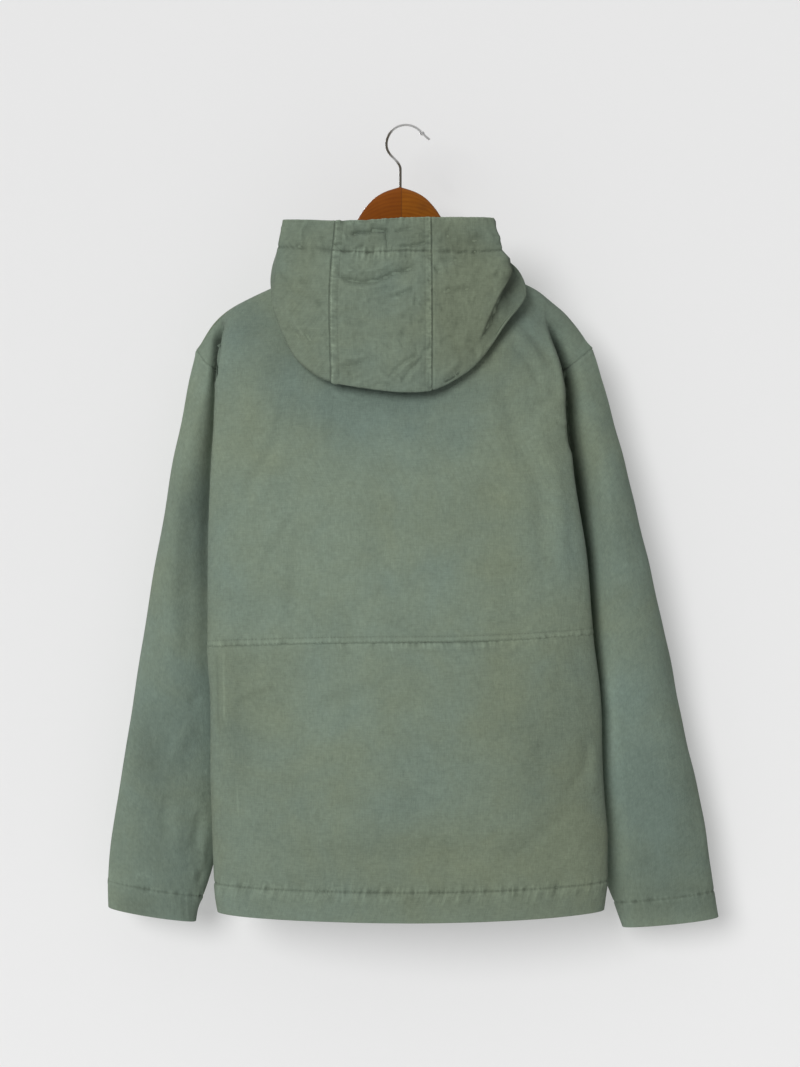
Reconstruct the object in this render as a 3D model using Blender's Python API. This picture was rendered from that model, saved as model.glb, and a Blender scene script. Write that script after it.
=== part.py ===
"""A hooded parka hanging on a wooden hanger with a wire hook.

Frame: +Z up, +Y towards the garment's back, +X towards the wearer's left.
The origin is the inside top of the hook, where a rail carries the hanger.
The cloth is modelled as its middle surface, worked out from the tables below,
and every cut-and-sewn piece is a wall of that surface, WALL thick.
All tables are in millimetres.
"""
import math

import bmesh
import bpy
import numpy as np

for old in list(bpy.data.objects):
    bpy.data.objects.remove(old, do_unlink=True)

MM = 0.001

# ---- driving sizes ---------------------------------------------------------
WALL = 1.6            # cloth wall, two turned layers pressed together
GAP = 0.3             # seam gap between two sewn pieces
X0 = 7.2              # sideways place of the garment's middle at the neck
FRONT_EDGE = 5.0      # half the opening that the zip fills
NECK_WIDTH = 84.0     # half width of the neck ring, at the shoulder line
NECK_POINT_Y = -8.3   # where the shoulder line meets the ring
NECK_BACK_Y = 18.0    # the ring at centre back
NECK_FRONT_Y = -66.0  # and at centre front
NECK_TOP = -158.0     # height of the ring at centre back
NECK_POINT_Z = -166.5
NECK_FRONT_Z = -235.0

# column counts from the centre to the side, and row counts going up
COLS_NECK, COLS_PANEL, COLS_TUCK = 6, 6, 3
ROWS_SKIRT, ROWS_WAIST, ROWS_ARMHOLE = 6, 3, 8
SLEEVE_ROWS_CAP, SLEEVE_ROWS_ARM = 5, 8
HOOD_ROWS_OUTER, HOOD_ROWS_RETURN = 8, 6

# shoulder line: height, and distance from X0 on the left and right
SHOULDER = dict(
    columns=("z", "left", "right"),
    rows=((-163, 75, 75), (-174, 110, 110), (-195, 158, 163), (-209, 187, 182),
          (-223, 210, 199), (-237, 225, 211), (-251, 235, 221), (-260, 241, 227),
          (-266, 246, 233)))

# fold edge where the back panel turns under, height and x
FOLD_LEFT = dict(
    columns=("z", "x"),
    rows=((-941, 225), (-926, 227.5), (-883, 230), (-840, 231.7), (-778, 233.5),
          (-694, 233.5), (-622, 237), (-520, 236), (-425, 233.5), (-365, 230),
          (-317, 227.5), (-275, 225), (-251, 218), (-229, 211), (-214, 204.4)))
FOLD_RIGHT = dict(
    columns=("z", "x"),
    rows=((-939, -236), (-918, -239), (-906, -240.8), (-855, -240.8), (-810, -237),
          (-767, -234.8), (-706, -233.6), (-671, -231), (-614, -224), (-588, -221.6),
          (-520, -215.6), (-420, -200), (-390, -196.4), (-378, -192.2), (-345, -190.4),
          (-301, -186.8), (-286, -183.2), (-270, -177.2), (-253, -171.3),
          (-233, -166.5), (-201, -163)))
FOLD_Y = dict(columns=("z", "y"), rows=((-945, 6), (-617, 8), (-450, 12), (-365, 14), (-200, 14)))

# middle lines: how far the back stands out, the front, and the sideways drift
CENTRE = dict(
    columns=("z", "x", "back_y", "front_y"),
    rows=((-945, -5, 66, -84), (-800, -1, 64.5, -85), (-617, 6, 61, -84),
          (-450, 8, 56, -80), (-340, 7.8, 48, -73), (-280, 7.4, 41, -68),
          (-235, 7.2, 33.5, -66), (-200, 7.2, 27, -66), (-158, 7.2, 18, -66)))

# levels of the seams: at the centre, on the fold edges and on the side seams
LEVELS = dict(
    columns=("name", "centre", "fold_left", "fold_right", "side_left", "side_right"),
    rows=(("hem", -944.6, -940.8, -938.4, -940.0, -937.5),
          ("waist", -617.2, -624.0, -609.0, -624.0, -609.0),
          ("underarm", -440.0, -442.0, -442.0, -455.0, -455.0)))

# side seam in the tucked wall
SIDE = dict(
    columns=("z", "left", "right", "y"),
    rows=((-945, 219, -230, -10), (-850, 209, -218, -16), (-780, 203, -205, -17),
          (-617, 204, -193, -18), (-455, 203, -172, -38)))

# armhole seams, from the underarm up to the shoulder tip
ARMHOLE_BACK_LEFT = dict(
    columns=("z", "x", "y"),
    rows=((-455, 203, -38), (-430, 205, -24), (-390, 208, -14), (-345, 214, -8),
          (-312, 222, -6), (-289.6, 232, -8), (-281, 242, -16), (-266.3, 253.3, -28)))
ARMHOLE_BACK_RIGHT = dict(
    columns=("z", "x", "y"),
    rows=((-455, -172, -38), (-430, -172, -24), (-390, -174, -14), (-345, -178, -8),
          (-312, -184, -6), (-291, -193, -8), (-277, -210, -16), (-264, -225.6, -28)))
ARMHOLE_FRONT = dict(
    columns=("rise", "left", "right", "y"),
    rows=((0, 203, -172, -38), (0.2, 206, -175, -58), (0.45, 212, -182, -66),
          (0.67, 222, -194, -62), (0.83, 233, -206, -54), (0.93, 243, -216.5, -42),
          (1, 253.3, -225.6, -28)))

# sleeve edges as seen from behind
SLEEVE_OUTER_LEFT = ((253.3, -266.3), (262.5, -307), (271, -351), (282, -399), (292, -454),
                     (304, -521), (315, -585), (324.5, -643), (334, -707), (344, -771),
                     (354, -837), (360, -886), (362, -910), (362.5, -923), (362, -943))
SLEEVE_INNER_LEFT = ((203, -455), (212, -461.5), (220, -480), (221.5, -545), (221.5, -630),
                     (221, -715), (222.5, -776), (225, -825), (230, -867), (237, -898), (248, -932),
                     (254, -946.5), (256.5, -960))
SLEEVE_OUTER_RIGHT = ((-225.6, -264), (-237, -300), (-252, -351), (-265, -399), (-277, -448),
                      (-294, -521), (-305, -570), (-317, -618), (-331, -691), (-346.5, -764),
                      (-357.5, -813), (-366, -861), (-373, -918.5), (-379, -955))
SLEEVE_INNER_RIGHT = ((-172, -455), (-182, -462), (-196, -480), (-203, -521), (-210.5, -606),
                      (-216, -691), (-222, -776), (-228, -837), (-236, -886), (-245, -916), (-250.5, -927),
                      (-256.6, -945), (-264, -967))
CAP_OUTER, CAP_INNER = 226.0, 37.0   # lengths of the sleeve cap on its two edges
SLEEVE_DEPTH = dict(
    columns=("along", "half_depth", "y"),
    rows=((0, 30, -36), (0.15, 38, -40), (0.33, 47, -43), (0.55, 43, -45),
          (0.8, 30, -44), (1, 21, -40)))

# hood guide lines around the neck, from the left front edge to the right one:
# E is the free edge, M half way down the outer layer, B the bottom fold,
# R on the inner layer that runs back up to the neck seam
HOOD = dict(
    columns=("u", "E", "M", "B", "R"),
    rows=((0.00, (12, -72, -196), (12, -75, -208), (12, -76, -218), (12, -74, -227)),
          (0.09, (45, -66, -180), (50, -68, -192), (54, -67, -203), (56, -62, -211)),
          (0.18, (100, -38, -148), (110, -36, -158), (112, -32, -168), (105, -28, -176)),
          (0.26, (134, -12, -126), (148, -8, -146), (152, 2, -168), (124, -1, -163)),
          (0.30, (143, 10, -119), (153, 12, -150), (160, 18, -190), (132, 14, -174)),
          (0.34, (145.6, 30, -117), (152, 34, -155), (158, 36, -215), (122, 22, -196)),
          (0.38, (115, 34, -117.5), (122, 50, -190), (129, 54, -283), (100, 33, -232)),
          (0.42, (84, 34, -118.5), (90, 58, -203), (88, 63, -311), (70, 38, -245)),
          (0.46, (45, 34, -117.5), (48, 60, -205), (50, 68, -318), (40, 42, -248)),
          (0.50, (7.2, 34, -115), (7.2, 60, -205), (7.2, 69, -323), (7.2, 43, -245)),
          (0.54, (-11, 34, -114.6), (-11.5, 60, -204), (-11.5, 69, -323), (-9, 43, -245)),
          (0.58, (-30, 34, -114.3), (-30.7, 58, -203), (-30.5, 67, -321), (-24, 41, -245)),
          (0.62, (-64, 34, -114.3), (-69, 54, -203), (-75, 61, -290), (-60, 35, -236)),
          (0.66, (-102, 30, -114.4), (-118, 42, -165), (-118, 52, -241), (-95, 24, -198)),
          (0.70, (-108, 8, -118), (-120, 14, -148), (-141, 28, -198), (-110, 13, -175)),
          (0.74, (-106, -14, -127), (-122, -12, -148), (-128, -2, -168), (-106, -3, -162)),
          (0.82, (-84, -40, -150), (-95, -38, -160), (-98, -34, -168), (-90, -29, -176)),
          (0.91, (-31, -66, -180), (-36, -68, -192), (-40, -67, -203), (-42, -62, -211)),
          (1.00, (2, -72, -196), (2, -75, -208), (2, -76, -218), (2, -74, -227))))

# hanger: top edge of the wood, offset from X0
WOOD_TOP = dict(
    columns=("offset", "z", "height"),
    rows=((0, -73, 52), (19, -79, 49), (31, -86, 47), (38.5, -93.4, 45), (44.4, -100.6, 43),
          (49, -107.8, 41), (54, -116, 39), (59, -127, 37), (64, -139, 36), (69, -150.5, 34),
          (74, -161.5, 32), (79, -168.5, 31), (85, -171.5, 30), (95, -175.5, 29),
          (110, -180, 28), (158, -201, 26), (187, -216.5, 23), (210, -231, 19)))
WOOD_HALF = 6.5       # half thickness of the wood
WOOD_REACH_LEFT, WOOD_REACH_RIGHT = 212.0, 186.0

HOOK_WIRE = 1.5       # radius of the hook's wire
HOOK_BEND = 23.5      # radius of its bend, to the middle of the wire
HOOK_BALL = 2.7       # radius of the bead near its end
HOOK_STEM_X = 6.7

# ---- small helpers -----------------------------------------------------------


def column(table, name):
    i = table["columns"].index(name)
    return [row[i] for row in table["rows"]]


def smooth(t):
    t = np.clip(t, 0.0, 1.0)
    return t * t * (3 - 2 * t)


class Curve:
    """A smooth curve through a table that never overshoots between its rows."""

    def __init__(self, xs, ys):
        order = np.argsort(xs)
        self.x = np.asarray(xs, float)[order]
        self.y = np.asarray(ys, float)[order]
        if self.y.ndim == 1:
            self.y = self.y[:, None]
            self.flat = True
        else:
            self.flat = False
        h = np.diff(self.x)
        d = np.diff(self.y, axis=0) / h[:, None]
        m = np.zeros_like(self.y)
        for i in range(1, len(self.x) - 1):
            w1, w2 = 2 * h[i] + h[i - 1], h[i] + 2 * h[i - 1]
            same = d[i - 1] * d[i] > 0
            for k in np.nonzero(same)[0]:
                m[i, k] = (w1 + w2) / (w1 / d[i - 1, k] + w2 / d[i, k])
        m[0], m[-1] = d[0], d[-1]
        self.h, self.m = h, m

    def __call__(self, t):
        t = min(max(float(t), self.x[0]), self.x[-1])
        i = min(max(int(np.searchsorted(self.x, t)) - 1, 0), len(self.h) - 1)
        u = (t - self.x[i]) / self.h[i]
        a, b = self.y[i], self.y[i + 1]
        ma, mb = self.m[i] * self.h[i], self.m[i + 1] * self.h[i]
        out = ((2 * u ** 3 - 3 * u ** 2 + 1) * a + (u ** 3 - 2 * u ** 2 + u) * ma
               + (-2 * u ** 3 + 3 * u ** 2) * b + (u ** 3 - u ** 2) * mb)
        return float(out[0]) if self.flat else out


def curve_of(table, key, value):
    return Curve(column(table, key), column(table, value))


def path_by_length(points):
    """A smooth path through points, called with the length along it."""
    pts = np.asarray(points, float)
    s = np.concatenate([[0], np.cumsum(np.linalg.norm(np.diff(pts, axis=0), axis=1))])
    return Curve(s, pts), s[-1]


def unit(a):
    a = np.asarray(a, float)
    return a / max(np.linalg.norm(a), 1e-9)


# ---- the body of the garment -------------------------------------------------
SIGN = {"left": 1.0, "right": -1.0}
shoulder_z = {s: curve_of(SHOULDER, s, "z") for s in SIGN}
fold_x = {"left": curve_of(FOLD_LEFT, "z", "x"), "right": curve_of(FOLD_RIGHT, "z", "x")}
fold_y = curve_of(FOLD_Y, "z", "y")
centre_x = curve_of(CENTRE, "z", "x")
back_y = curve_of(CENTRE, "z", "back_y")
front_y = curve_of(CENTRE, "z", "front_y")
side_x = {s: curve_of(SIDE, "z", s) for s in SIGN}
side_y = curve_of(SIDE, "z", "y")
armhole_back = {
    "left": Curve(column(ARMHOLE_BACK_LEFT, "z"),
                  [row[1:] for row in ARMHOLE_BACK_LEFT["rows"]]),
    "right": Curve(column(ARMHOLE_BACK_RIGHT, "z"),
                   [row[1:] for row in ARMHOLE_BACK_RIGHT["rows"]])}
armhole_front_x = {s: curve_of(ARMHOLE_FRONT, "rise", s) for s in SIGN}
armhole_front_y = curve_of(ARMHOLE_FRONT, "rise", "y")
TIP = {"left": np.array(ARMHOLE_BACK_LEFT["rows"][-1][1:] + (ARMHOLE_BACK_LEFT["rows"][-1][0],), float),
       "right": np.array(ARMHOLE_BACK_RIGHT["rows"][-1][1:] + (ARMHOLE_BACK_RIGHT["rows"][-1][0],), float)}
FOLD_TOP = {"left": 204.4 - X0, "right": 163.0 + X0}      # offset where the fold edge meets the shoulder
TIP_OFFSET = {s: abs(TIP[s][0] - X0) for s in SIGN}


def neck_ring(psi, side=1.0):
    """The neck seam: angle 90 degrees at centre back, 0 at the shoulder line."""
    h = math.sin(psi)
    if h >= 0:
        y = NECK_POINT_Y + (NECK_BACK_Y - NECK_POINT_Y) * h
        z = NECK_TOP + (NECK_POINT_Z - NECK_TOP) * (1 - h) ** 1.6
    else:
        y = NECK_POINT_Y - (NECK_POINT_Y - NECK_FRONT_Y) * -h
        z = NECK_POINT_Z + (NECK_FRONT_Z - NECK_POINT_Z) * (-h) ** 1.25
    return np.array([X0 + side * NECK_WIDTH * math.cos(psi), y, z])


NECK_POINT = 0.0
NECK_OFFSET = NECK_WIDTH
PSI_FRONT = -math.acos(FRONT_EDGE / NECK_WIDTH)


def ridge(side, offset):
    """A point of the shoulder line at this distance from the middle."""
    t = (offset - NECK_OFFSET) / (TIP_OFFSET[side] - NECK_OFFSET)
    y = NECK_POINT_Y + (TIP[side][1] - NECK_POINT_Y) * max(t, 0.0) ** 1.3
    z = shoulder_z[side](offset)
    z += (NECK_POINT_Z - shoulder_z[side](NECK_OFFSET)) * (1 - smooth(t * 4))
    z += (TIP[side][2] - shoulder_z[side](TIP_OFFSET[side])) * smooth((t - 0.7) / 0.3)
    return np.array([X0 + SIGN[side] * offset, y, z])


def ridge_round(offset, c):
    """Radius with which the cloth turns over the shoulder line."""
    return 9.5 * smooth((c - 0.62) / 0.38) + 2.5 * smooth((offset - NECK_OFFSET) / 30)


def top_point(side, face, c):
    """Top row of a panel: c 0 at the centre, 1 neck point, 2 fold edge, 3 tip."""
    if c <= 1:
        start = math.pi / 2 if face == "back" else PSI_FRONT
        return neck_ring(start + (NECK_POINT - start) * c, SIGN[side])
    if c <= 2:
        return ridge(side, NECK_OFFSET + (FOLD_TOP[side] - NECK_OFFSET) * (c - 1))
    return ridge(side, FOLD_TOP[side] + (TIP_OFFSET[side] - FOLD_TOP[side]) * (c - 2))


def level(v, where):
    """Height of the row v (0 hem, 1 waist seam, 2 underarm) at the centre, fold or side."""
    i = LEVELS["columns"].index(where)
    z = [row[i] for row in LEVELS["rows"]]
    return z[0] + (z[1] - z[0]) * v if v <= 1 else z[1] + (z[2] - z[1]) * (v - 1)


def rise(v):
    """How far up the armhole part a row v from 2 to 3 lies."""
    return 1 - (1 - (v - 2)) ** 1.6


def swing(c, neck_share):
    """Angle around the quarter from the centre (0) to the edge (90 degrees)."""
    if c <= 1:
        return neck_share * c * math.pi / 2
    return (neck_share + (1 - neck_share) * (c - 1)) * math.pi / 2


def back_panel_point(side, v, c):
    """Back between the centre (c 0) and the fold edge (c 2)."""
    s = SIGN[side]
    theta = swing(c, 0.36)
    if v <= 2:
        z = level(v, "centre") + (level(v, "fold_" + side) - level(v, "centre")) * math.sin(theta) ** 2
        x = centre_x(z) + (fold_x[side](z) - centre_x(z)) * math.sin(theta)
        y = fold_y(z) + (back_y(z) - fold_y(z)) * math.cos(theta)
        return np.array([x, y, z])
    eta = rise(v)
    low = back_panel_point(side, 2.0, c)
    top = top_point(side, "back", c)
    z = low[2] + (top[2] - low[2]) * eta
    ratio_top = (top[0] - X0) / (top_point(side, "back", 2)[0] - X0)
    ratio = math.sin(theta) + (ratio_top - math.sin(theta)) * eta
    z_fold = level(2, "fold_" + side) + (top_point(side, "back", 2)[2] - level(2, "fold_" + side)) * eta
    x = centre_x(z) + (fold_x[side](z_fold) - centre_x(z)) * ratio
    t = top[2] - z
    offset = abs(top[0] - X0)
    r = ridge_round(offset, c)
    reach = 150 - 70 * smooth(offset / 190)
    full = fold_y(z) + (back_y(z) - fold_y(z)) * math.sqrt(max(1 - ratio ** 2, 0))
    turn = math.sqrt(max(1 - (1 - min(max(t / r, 0), 1)) ** 2, 0)) if r > 0.01 else 1.0
    y = top[1] + r * turn + (full - top[1] - r) * smooth(t / reach)
    return np.array([x, y, z])


def back_armhole(side, v):
    z = -455 + (TIP[side][2] + 455) * rise(v)
    x, y = armhole_back[side](z)
    return np.array([x, y, z])


def side_seam(side, v):
    z = level(v, "side_" + side)
    return np.array([side_x[side](z), side_y(z), z])


def back_point(side, v, c):
    """The whole back with the wall tucked in behind the fold edge (c 2 to 3)."""
    if c <= 2:
        return back_panel_point(side, v, c)
    s, u = SIGN[side], c - 2
    F = back_panel_point(side, v, 2)
    A = side_seam(side, v) if v <= 2 else back_armhole(side, v)
    deep = F[1] - A[1]
    P1 = F + np.array([-s * 14 * smooth((deep - 12) / 38), -0.25 * deep, 0])
    P2 = A + np.array([s * 1.0, 0.4 * deep, 0])
    wall = ((1 - u) ** 3 * F + 3 * (1 - u) ** 2 * u * P1 + 3 * (1 - u) * u ** 2 * P2 + u ** 3 * A)
    k = smooth((v - 2.55) / 0.45)
    if k <= 0:
        return wall
    R = top_point(side, "back", c)
    over = R + (1 - u) * (F - top_point(side, "back", 2)) + u * (A - top_point(side, "back", 3))
    return (1 - k) * wall + k * over


def front_armhole(side, v):
    eta = rise(v)
    return np.array([armhole_front_x[side](eta), armhole_front_y(eta),
                     -455 + (TIP[side][2] + 455) * eta])


def front_point(side, v, c):
    """Front from its zip edge (c 0) to the side seam or armhole (c 3)."""
    s, n = SIGN[side], 2.6
    share = c / 3
    theta = share * math.pi / 2
    A = side_seam(side, v) if v <= 2 else front_armhole(side, v)
    low_ratio = math.sin(theta) ** (2 / n)
    if v <= 2:
        z = level(v, "centre") + (A[2] - level(v, "centre")) * math.sin(theta) ** 2
        edge = centre_x(z) + s * FRONT_EDGE
        x = edge + (A[0] - edge) * low_ratio
        y = A[1] + (front_y(z) - A[1]) * max(math.cos(theta), 0) ** (2 / n)
        return np.array([x, y, z])
    eta = rise(v)
    low = front_point(side, 2.0, c)
    top = top_point(side, "front", c)
    top_edge, top_tip = top_point(side, "front", 0), top_point(side, "front", 3)
    z = low[2] + (top[2] - low[2]) * eta
    top_ratio = (top[0] - top_edge[0]) / (top_tip[0] - top_edge[0])
    ratio = min(low_ratio + (top_ratio - low_ratio) * eta, 1.0)
    edge = centre_x(z) + s * FRONT_EDGE
    edge += (top_edge[0] - (X0 + s * FRONT_EDGE)) * eta
    x = edge + (A[0] - edge) * ratio
    t = top[2] - z
    offset = abs(top[0] - X0)
    r = ridge_round(offset, c)
    reach = 130 - 30 * smooth(offset / 190)
    full = A[1] + (front_y(z) - A[1]) * max(1 - ratio ** n, 0) ** (1 / n)
    turn = math.sqrt(max(1 - (1 - min(max(t / r, 0), 1)) ** 2, 0)) if r > 0.01 else 1.0
    y = top[1] - r * turn + (full - top[1] + r) * smooth(t / reach)
    P = np.array([x, y, z])
    if c < 3:
        last = front_point(side, v, 3.0001)
        return P + (A - last) * ratio ** 5
    return P if c > 3 else A


def rows_of_body():
    v = [i / ROWS_SKIRT for i in range(ROWS_SKIRT)]
    v += [1 + i / ROWS_WAIST for i in range(ROWS_WAIST)]
    v += [2 + i / ROWS_ARMHOLE for i in range(ROWS_ARMHOLE + 1)]
    return v


def columns_of_body():
    c = [i / COLS_NECK for i in range(COLS_NECK)]
    c += [1 + i / COLS_PANEL for i in range(COLS_PANEL)]
    c += [2 + i / COLS_TUCK for i in range(COLS_TUCK + 1)]
    return c


V, C = rows_of_body(), columns_of_body()
ROW_WAIST, ROW_UNDERARM = ROWS_SKIRT, ROWS_SKIRT + ROWS_WAIST

panels = {}
for side in SIGN:
    panels["back", side] = np.array([[back_point(side, v, c) for c in C] for v in V])
    panels["front", side] = np.array([[front_point(side, v, c) for c in C] for v in V])
    # the shoulder line and the side seam are the same points on both panels
    panels["front", side][:ROW_UNDERARM + 1, -1] = panels["back", side][:ROW_UNDERARM + 1, -1]
    panels["front", side][-1, COLS_NECK:] = panels["back", side][-1, COLS_NECK:]


# ---- sleeves -------------------------------------------------------------------
def sleeve_grid(side):
    """Rings from the armhole to the cuff, each from the outer edge round by the back."""
    outer_pts = SLEEVE_OUTER_LEFT if side == "left" else SLEEVE_OUTER_RIGHT
    inner_pts = SLEEVE_INNER_LEFT if side == "left" else SLEEVE_INNER_RIGHT
    outer, outer_len = path_by_length(outer_pts)
    inner, inner_len = path_by_length(inner_pts)
    depth = curve_of(SLEEVE_DEPTH, "along", "half_depth")
    middle = curve_of(SLEEVE_DEPTH, "along", "y")
    back_col = panels["back", side][ROW_UNDERARM:, -1][::-1]       # tip down to underarm
    front_col = panels["front", side][ROW_UNDERARM:, -1][1:-1]     # up again
    loop = np.concatenate([back_col, front_col])
    count = len(loop)
    half = len(back_col) - 1
    phi = [math.pi * j / half for j in range(count)]

    def axes(o, i):
        O = np.array([o[0], 0, o[1]])
        I = np.array([i[0], 0, i[1]])
        e = unit(O - I)
        return O, I, np.array([-e[2], 0, e[0]])

    O0, I0, n0 = axes((loop[0][0], loop[0][2]), (loop[half][0], loop[half][2]))
    span0 = np.linalg.norm(O0 - I0)
    e0 = unit(O0 - I0)
    along0 = [float(np.dot(p - I0, e0)) / span0 for p in loop]
    off0 = [float(np.dot(p - I0, n0)) for p in loop]
    rings = [loop]
    total = SLEEVE_ROWS_CAP + SLEEVE_ROWS_ARM
    for k in range(1, total + 1):
        if k <= SLEEVE_ROWS_CAP:
            f = k / SLEEVE_ROWS_CAP
            so, si = CAP_OUTER * f, CAP_INNER * f
        else:
            f = (k - SLEEVE_ROWS_CAP) / SLEEVE_ROWS_ARM
            so = CAP_OUTER + (outer_len - CAP_OUTER) * f
            si = CAP_INNER + (inner_len - CAP_INNER) * f
        O, I, n = axes(outer(so), inner(si))
        along = so / outer_len
        w = smooth(k / (SLEEVE_ROWS_CAP + 1.0))
        ring = []
        for j in range(count):
            a = (1 - w) * along0[j] + w * (1 + math.cos(phi[j])) / 2
            y = (1 - w) * loop[j][1] + w * (middle(along) + depth(along) * math.sin(phi[j]))
            off = (1 - w) ** 2 * off0[j]
            p = I + a * (O - I) + off * n
            ring.append([p[0], y, p[2]])
        rings.append(np.array(ring))
    return np.array(rings)


for side in SIGN:
    panels["sleeve", side] = sleeve_grid(side)


# ---- shared normals over the sewn shell ------------------------------------------
def grid_faces_normal(P, flag, wrap):
    """Face normals of a grid, times flag, summed on its points."""
    out = np.zeros_like(P)
    nr, nc = P.shape[:2]
    for i in range(nr - 1):
        for j in range(nc if wrap else nc - 1):
            k = (j + 1) % nc
            a, b, c, d = P[i, j], P[i + 1, j], P[i + 1, k], P[i, k]
            n = np.cross(c - a, d - b) * flag
            for q in ((i, j), (i + 1, j), (i + 1, k), (i, k)):
                out[q] += n
    return out


def shared_normals(grids):
    """grids: name -> (points, flag, wrap). Points that coincide share one normal,
    and where a sleeve meets the body it points half way between the two."""
    total = {}
    for name, (P, flag, wrap) in grids.items():
        S = grid_faces_normal(P, flag, wrap)
        for i in range(P.shape[0]):
            for j in range(P.shape[1]):
                pair = total.setdefault(tuple(np.round(P[i, j], 3)), [np.zeros(3), np.zeros(3)])
                pair[1 if wrap else 0] += S[i, j]
    out = {}
    for name, (P, flag, wrap) in grids.items():
        N = np.zeros_like(P)
        for i in range(P.shape[0]):
            for j in range(P.shape[1]):
                body, sleeve = (unit(v) for v in total[tuple(np.round(P[i, j], 3))])
                both = body + sleeve
                own = sleeve if wrap else body
                # in the tight groove under the arm each piece leans to its own side
                N[i, j] = unit(both + own * 1.5 * max(0.0, 1.0 - np.linalg.norm(both)))
        out[name] = N
    return out


def cross_flag(kind, side):
    # rows go up on the body and columns outward; sleeve rows go down, columns round by the back
    return {"back": 1, "front": -1, "sleeve": 1}[kind] * (1 if side == "left" else -1)


# the cross product of the two diagonals has the sign of (row step) x (column step)
grids = {key: (P, cross_flag(*key), key[0] == "sleeve") for key, P in panels.items()}
normals = shared_normals(grids)


# ---- making solids ----------------------------------------------------------------
def material(name, rgb, rough, metal=0.0):
    m = bpy.data.materials.get(name)
    if m is None:
        m = bpy.data.materials.new(name)
        m.use_nodes = True
        b = m.node_tree.nodes["Principled BSDF"]
        b.inputs["Base Color"].default_value = (*rgb, 1)
        b.inputs["Roughness"].default_value = rough
        b.inputs["Metallic"].default_value = metal
    return m


def add_object(name, points_mm, faces, mat, at=(0, 0, 0)):
    mesh = bpy.data.meshes.new(name)
    at = np.asarray(at, float)
    mesh.from_pydata([tuple((np.asarray(p) - at) * MM) for p in points_mm], [], faces)
    mesh.update()
    bm = bmesh.new()
    bm.from_mesh(mesh)
    bmesh.ops.triangulate(bm, faces=bm.faces[:])
    bm.to_mesh(mesh)
    bm.free()
    mesh.shade_smooth()
    mesh.set_sharp_from_angle(angle=math.radians(50))
    mesh.materials.append(mat)
    obj = bpy.data.objects.new(name, mesh)
    obj.location = tuple(at * MM)
    bpy.context.scene.collection.objects.link(obj)
    return obj


def pull_back(P, seams, more, side_more):
    """Moves the seam borders of a grid inwards by half the seam gap."""
    Q = P.copy()
    step = GAP / 2 * 1.15
    nr, nc = P.shape[:2]
    if "bottom" in seams:
        for j in range(nc):
            Q[0, j] += unit(P[1, j] - P[0, j]) * step * more(j)
    if "top" in seams:
        for j in range(nc):
            Q[-1, j] += unit(P[-2, j] - P[-1, j]) * step
    if "first" in seams:
        for i in range(nr):
            Q[i, 0] += unit(P[i, 1] - P[i, 0]) * step * side_more(i)
    if "last" in seams:
        for i in range(nr):
            Q[i, -1] += unit(P[i, -2] - P[i, -1]) * step * side_more(i)
    return Q


def shell(name, P, N, mat, seams=(), flag=1, wrap=False, wall=WALL,
          more=lambda j: 1.0, side_more=lambda i: 1.0):
    """A closed wall around the grid P with normals N."""
    P = pull_back(P, seams, more, side_more)
    nr, nc = P.shape[:2]
    out = (P + N * wall / 2).reshape(-1, 3)
    inn = (P - N * wall / 2).reshape(-1, 3)
    m = nr * nc
    pts = list(out) + list(inn)
    faces = []

    def o(i, j):
        return i * nc + j % nc

    def face(*ids):
        faces.append(ids if flag > 0 else tuple(reversed(ids)))

    quad = face
    mid = P.reshape(-1, 3)
    for i in range(nr - 1):
        for j in range(nc if wrap else nc - 1):
            a, b, c, d = o(i, j), o(i + 1, j), o(i + 1, j + 1), o(i, j + 1)
            # both sides of the wall are split along the same, shorter diagonal
            if np.linalg.norm(mid[a] - mid[c]) <= np.linalg.norm(mid[b] - mid[d]):
                tris = ((a, b, c), (a, c, d))
            else:
                tris = ((a, b, d), (b, c, d))
            for t in tris:
                face(*t)
                face(*(m + k for k in reversed(t)))
    for j in range(nc if wrap else nc - 1):
        quad(o(0, j + 1), m + o(0, j + 1), m + o(0, j), o(0, j))
        quad(o(nr - 1, j), m + o(nr - 1, j), m + o(nr - 1, j + 1), o(nr - 1, j + 1))
    if not wrap:
        for i in range(nr - 1):
            quad(o(i, 0), m + o(i, 0), m + o(i + 1, 0), o(i + 1, 0))
            quad(o(i + 1, nc - 1), m + o(i + 1, nc - 1), m + o(i, nc - 1), o(i, nc - 1))
    return add_object(name, pts, faces, mat)


CLOTH = material("parka_cloth", (0.166, 0.199, 0.162), 0.9)
WOOD = material("hanger_varnish", (0.20, 0.068, 0.014), 0.35)
STEEL = material("hook_steel", (0.62, 0.61, 0.58), 0.3, 1.0)
TAPE = material("zip_tape_cloth", (0.12, 0.145, 0.115), 0.85)
ZIP = material("zip_metal", (0.30, 0.27, 0.20), 0.4, 1.0)

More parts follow.
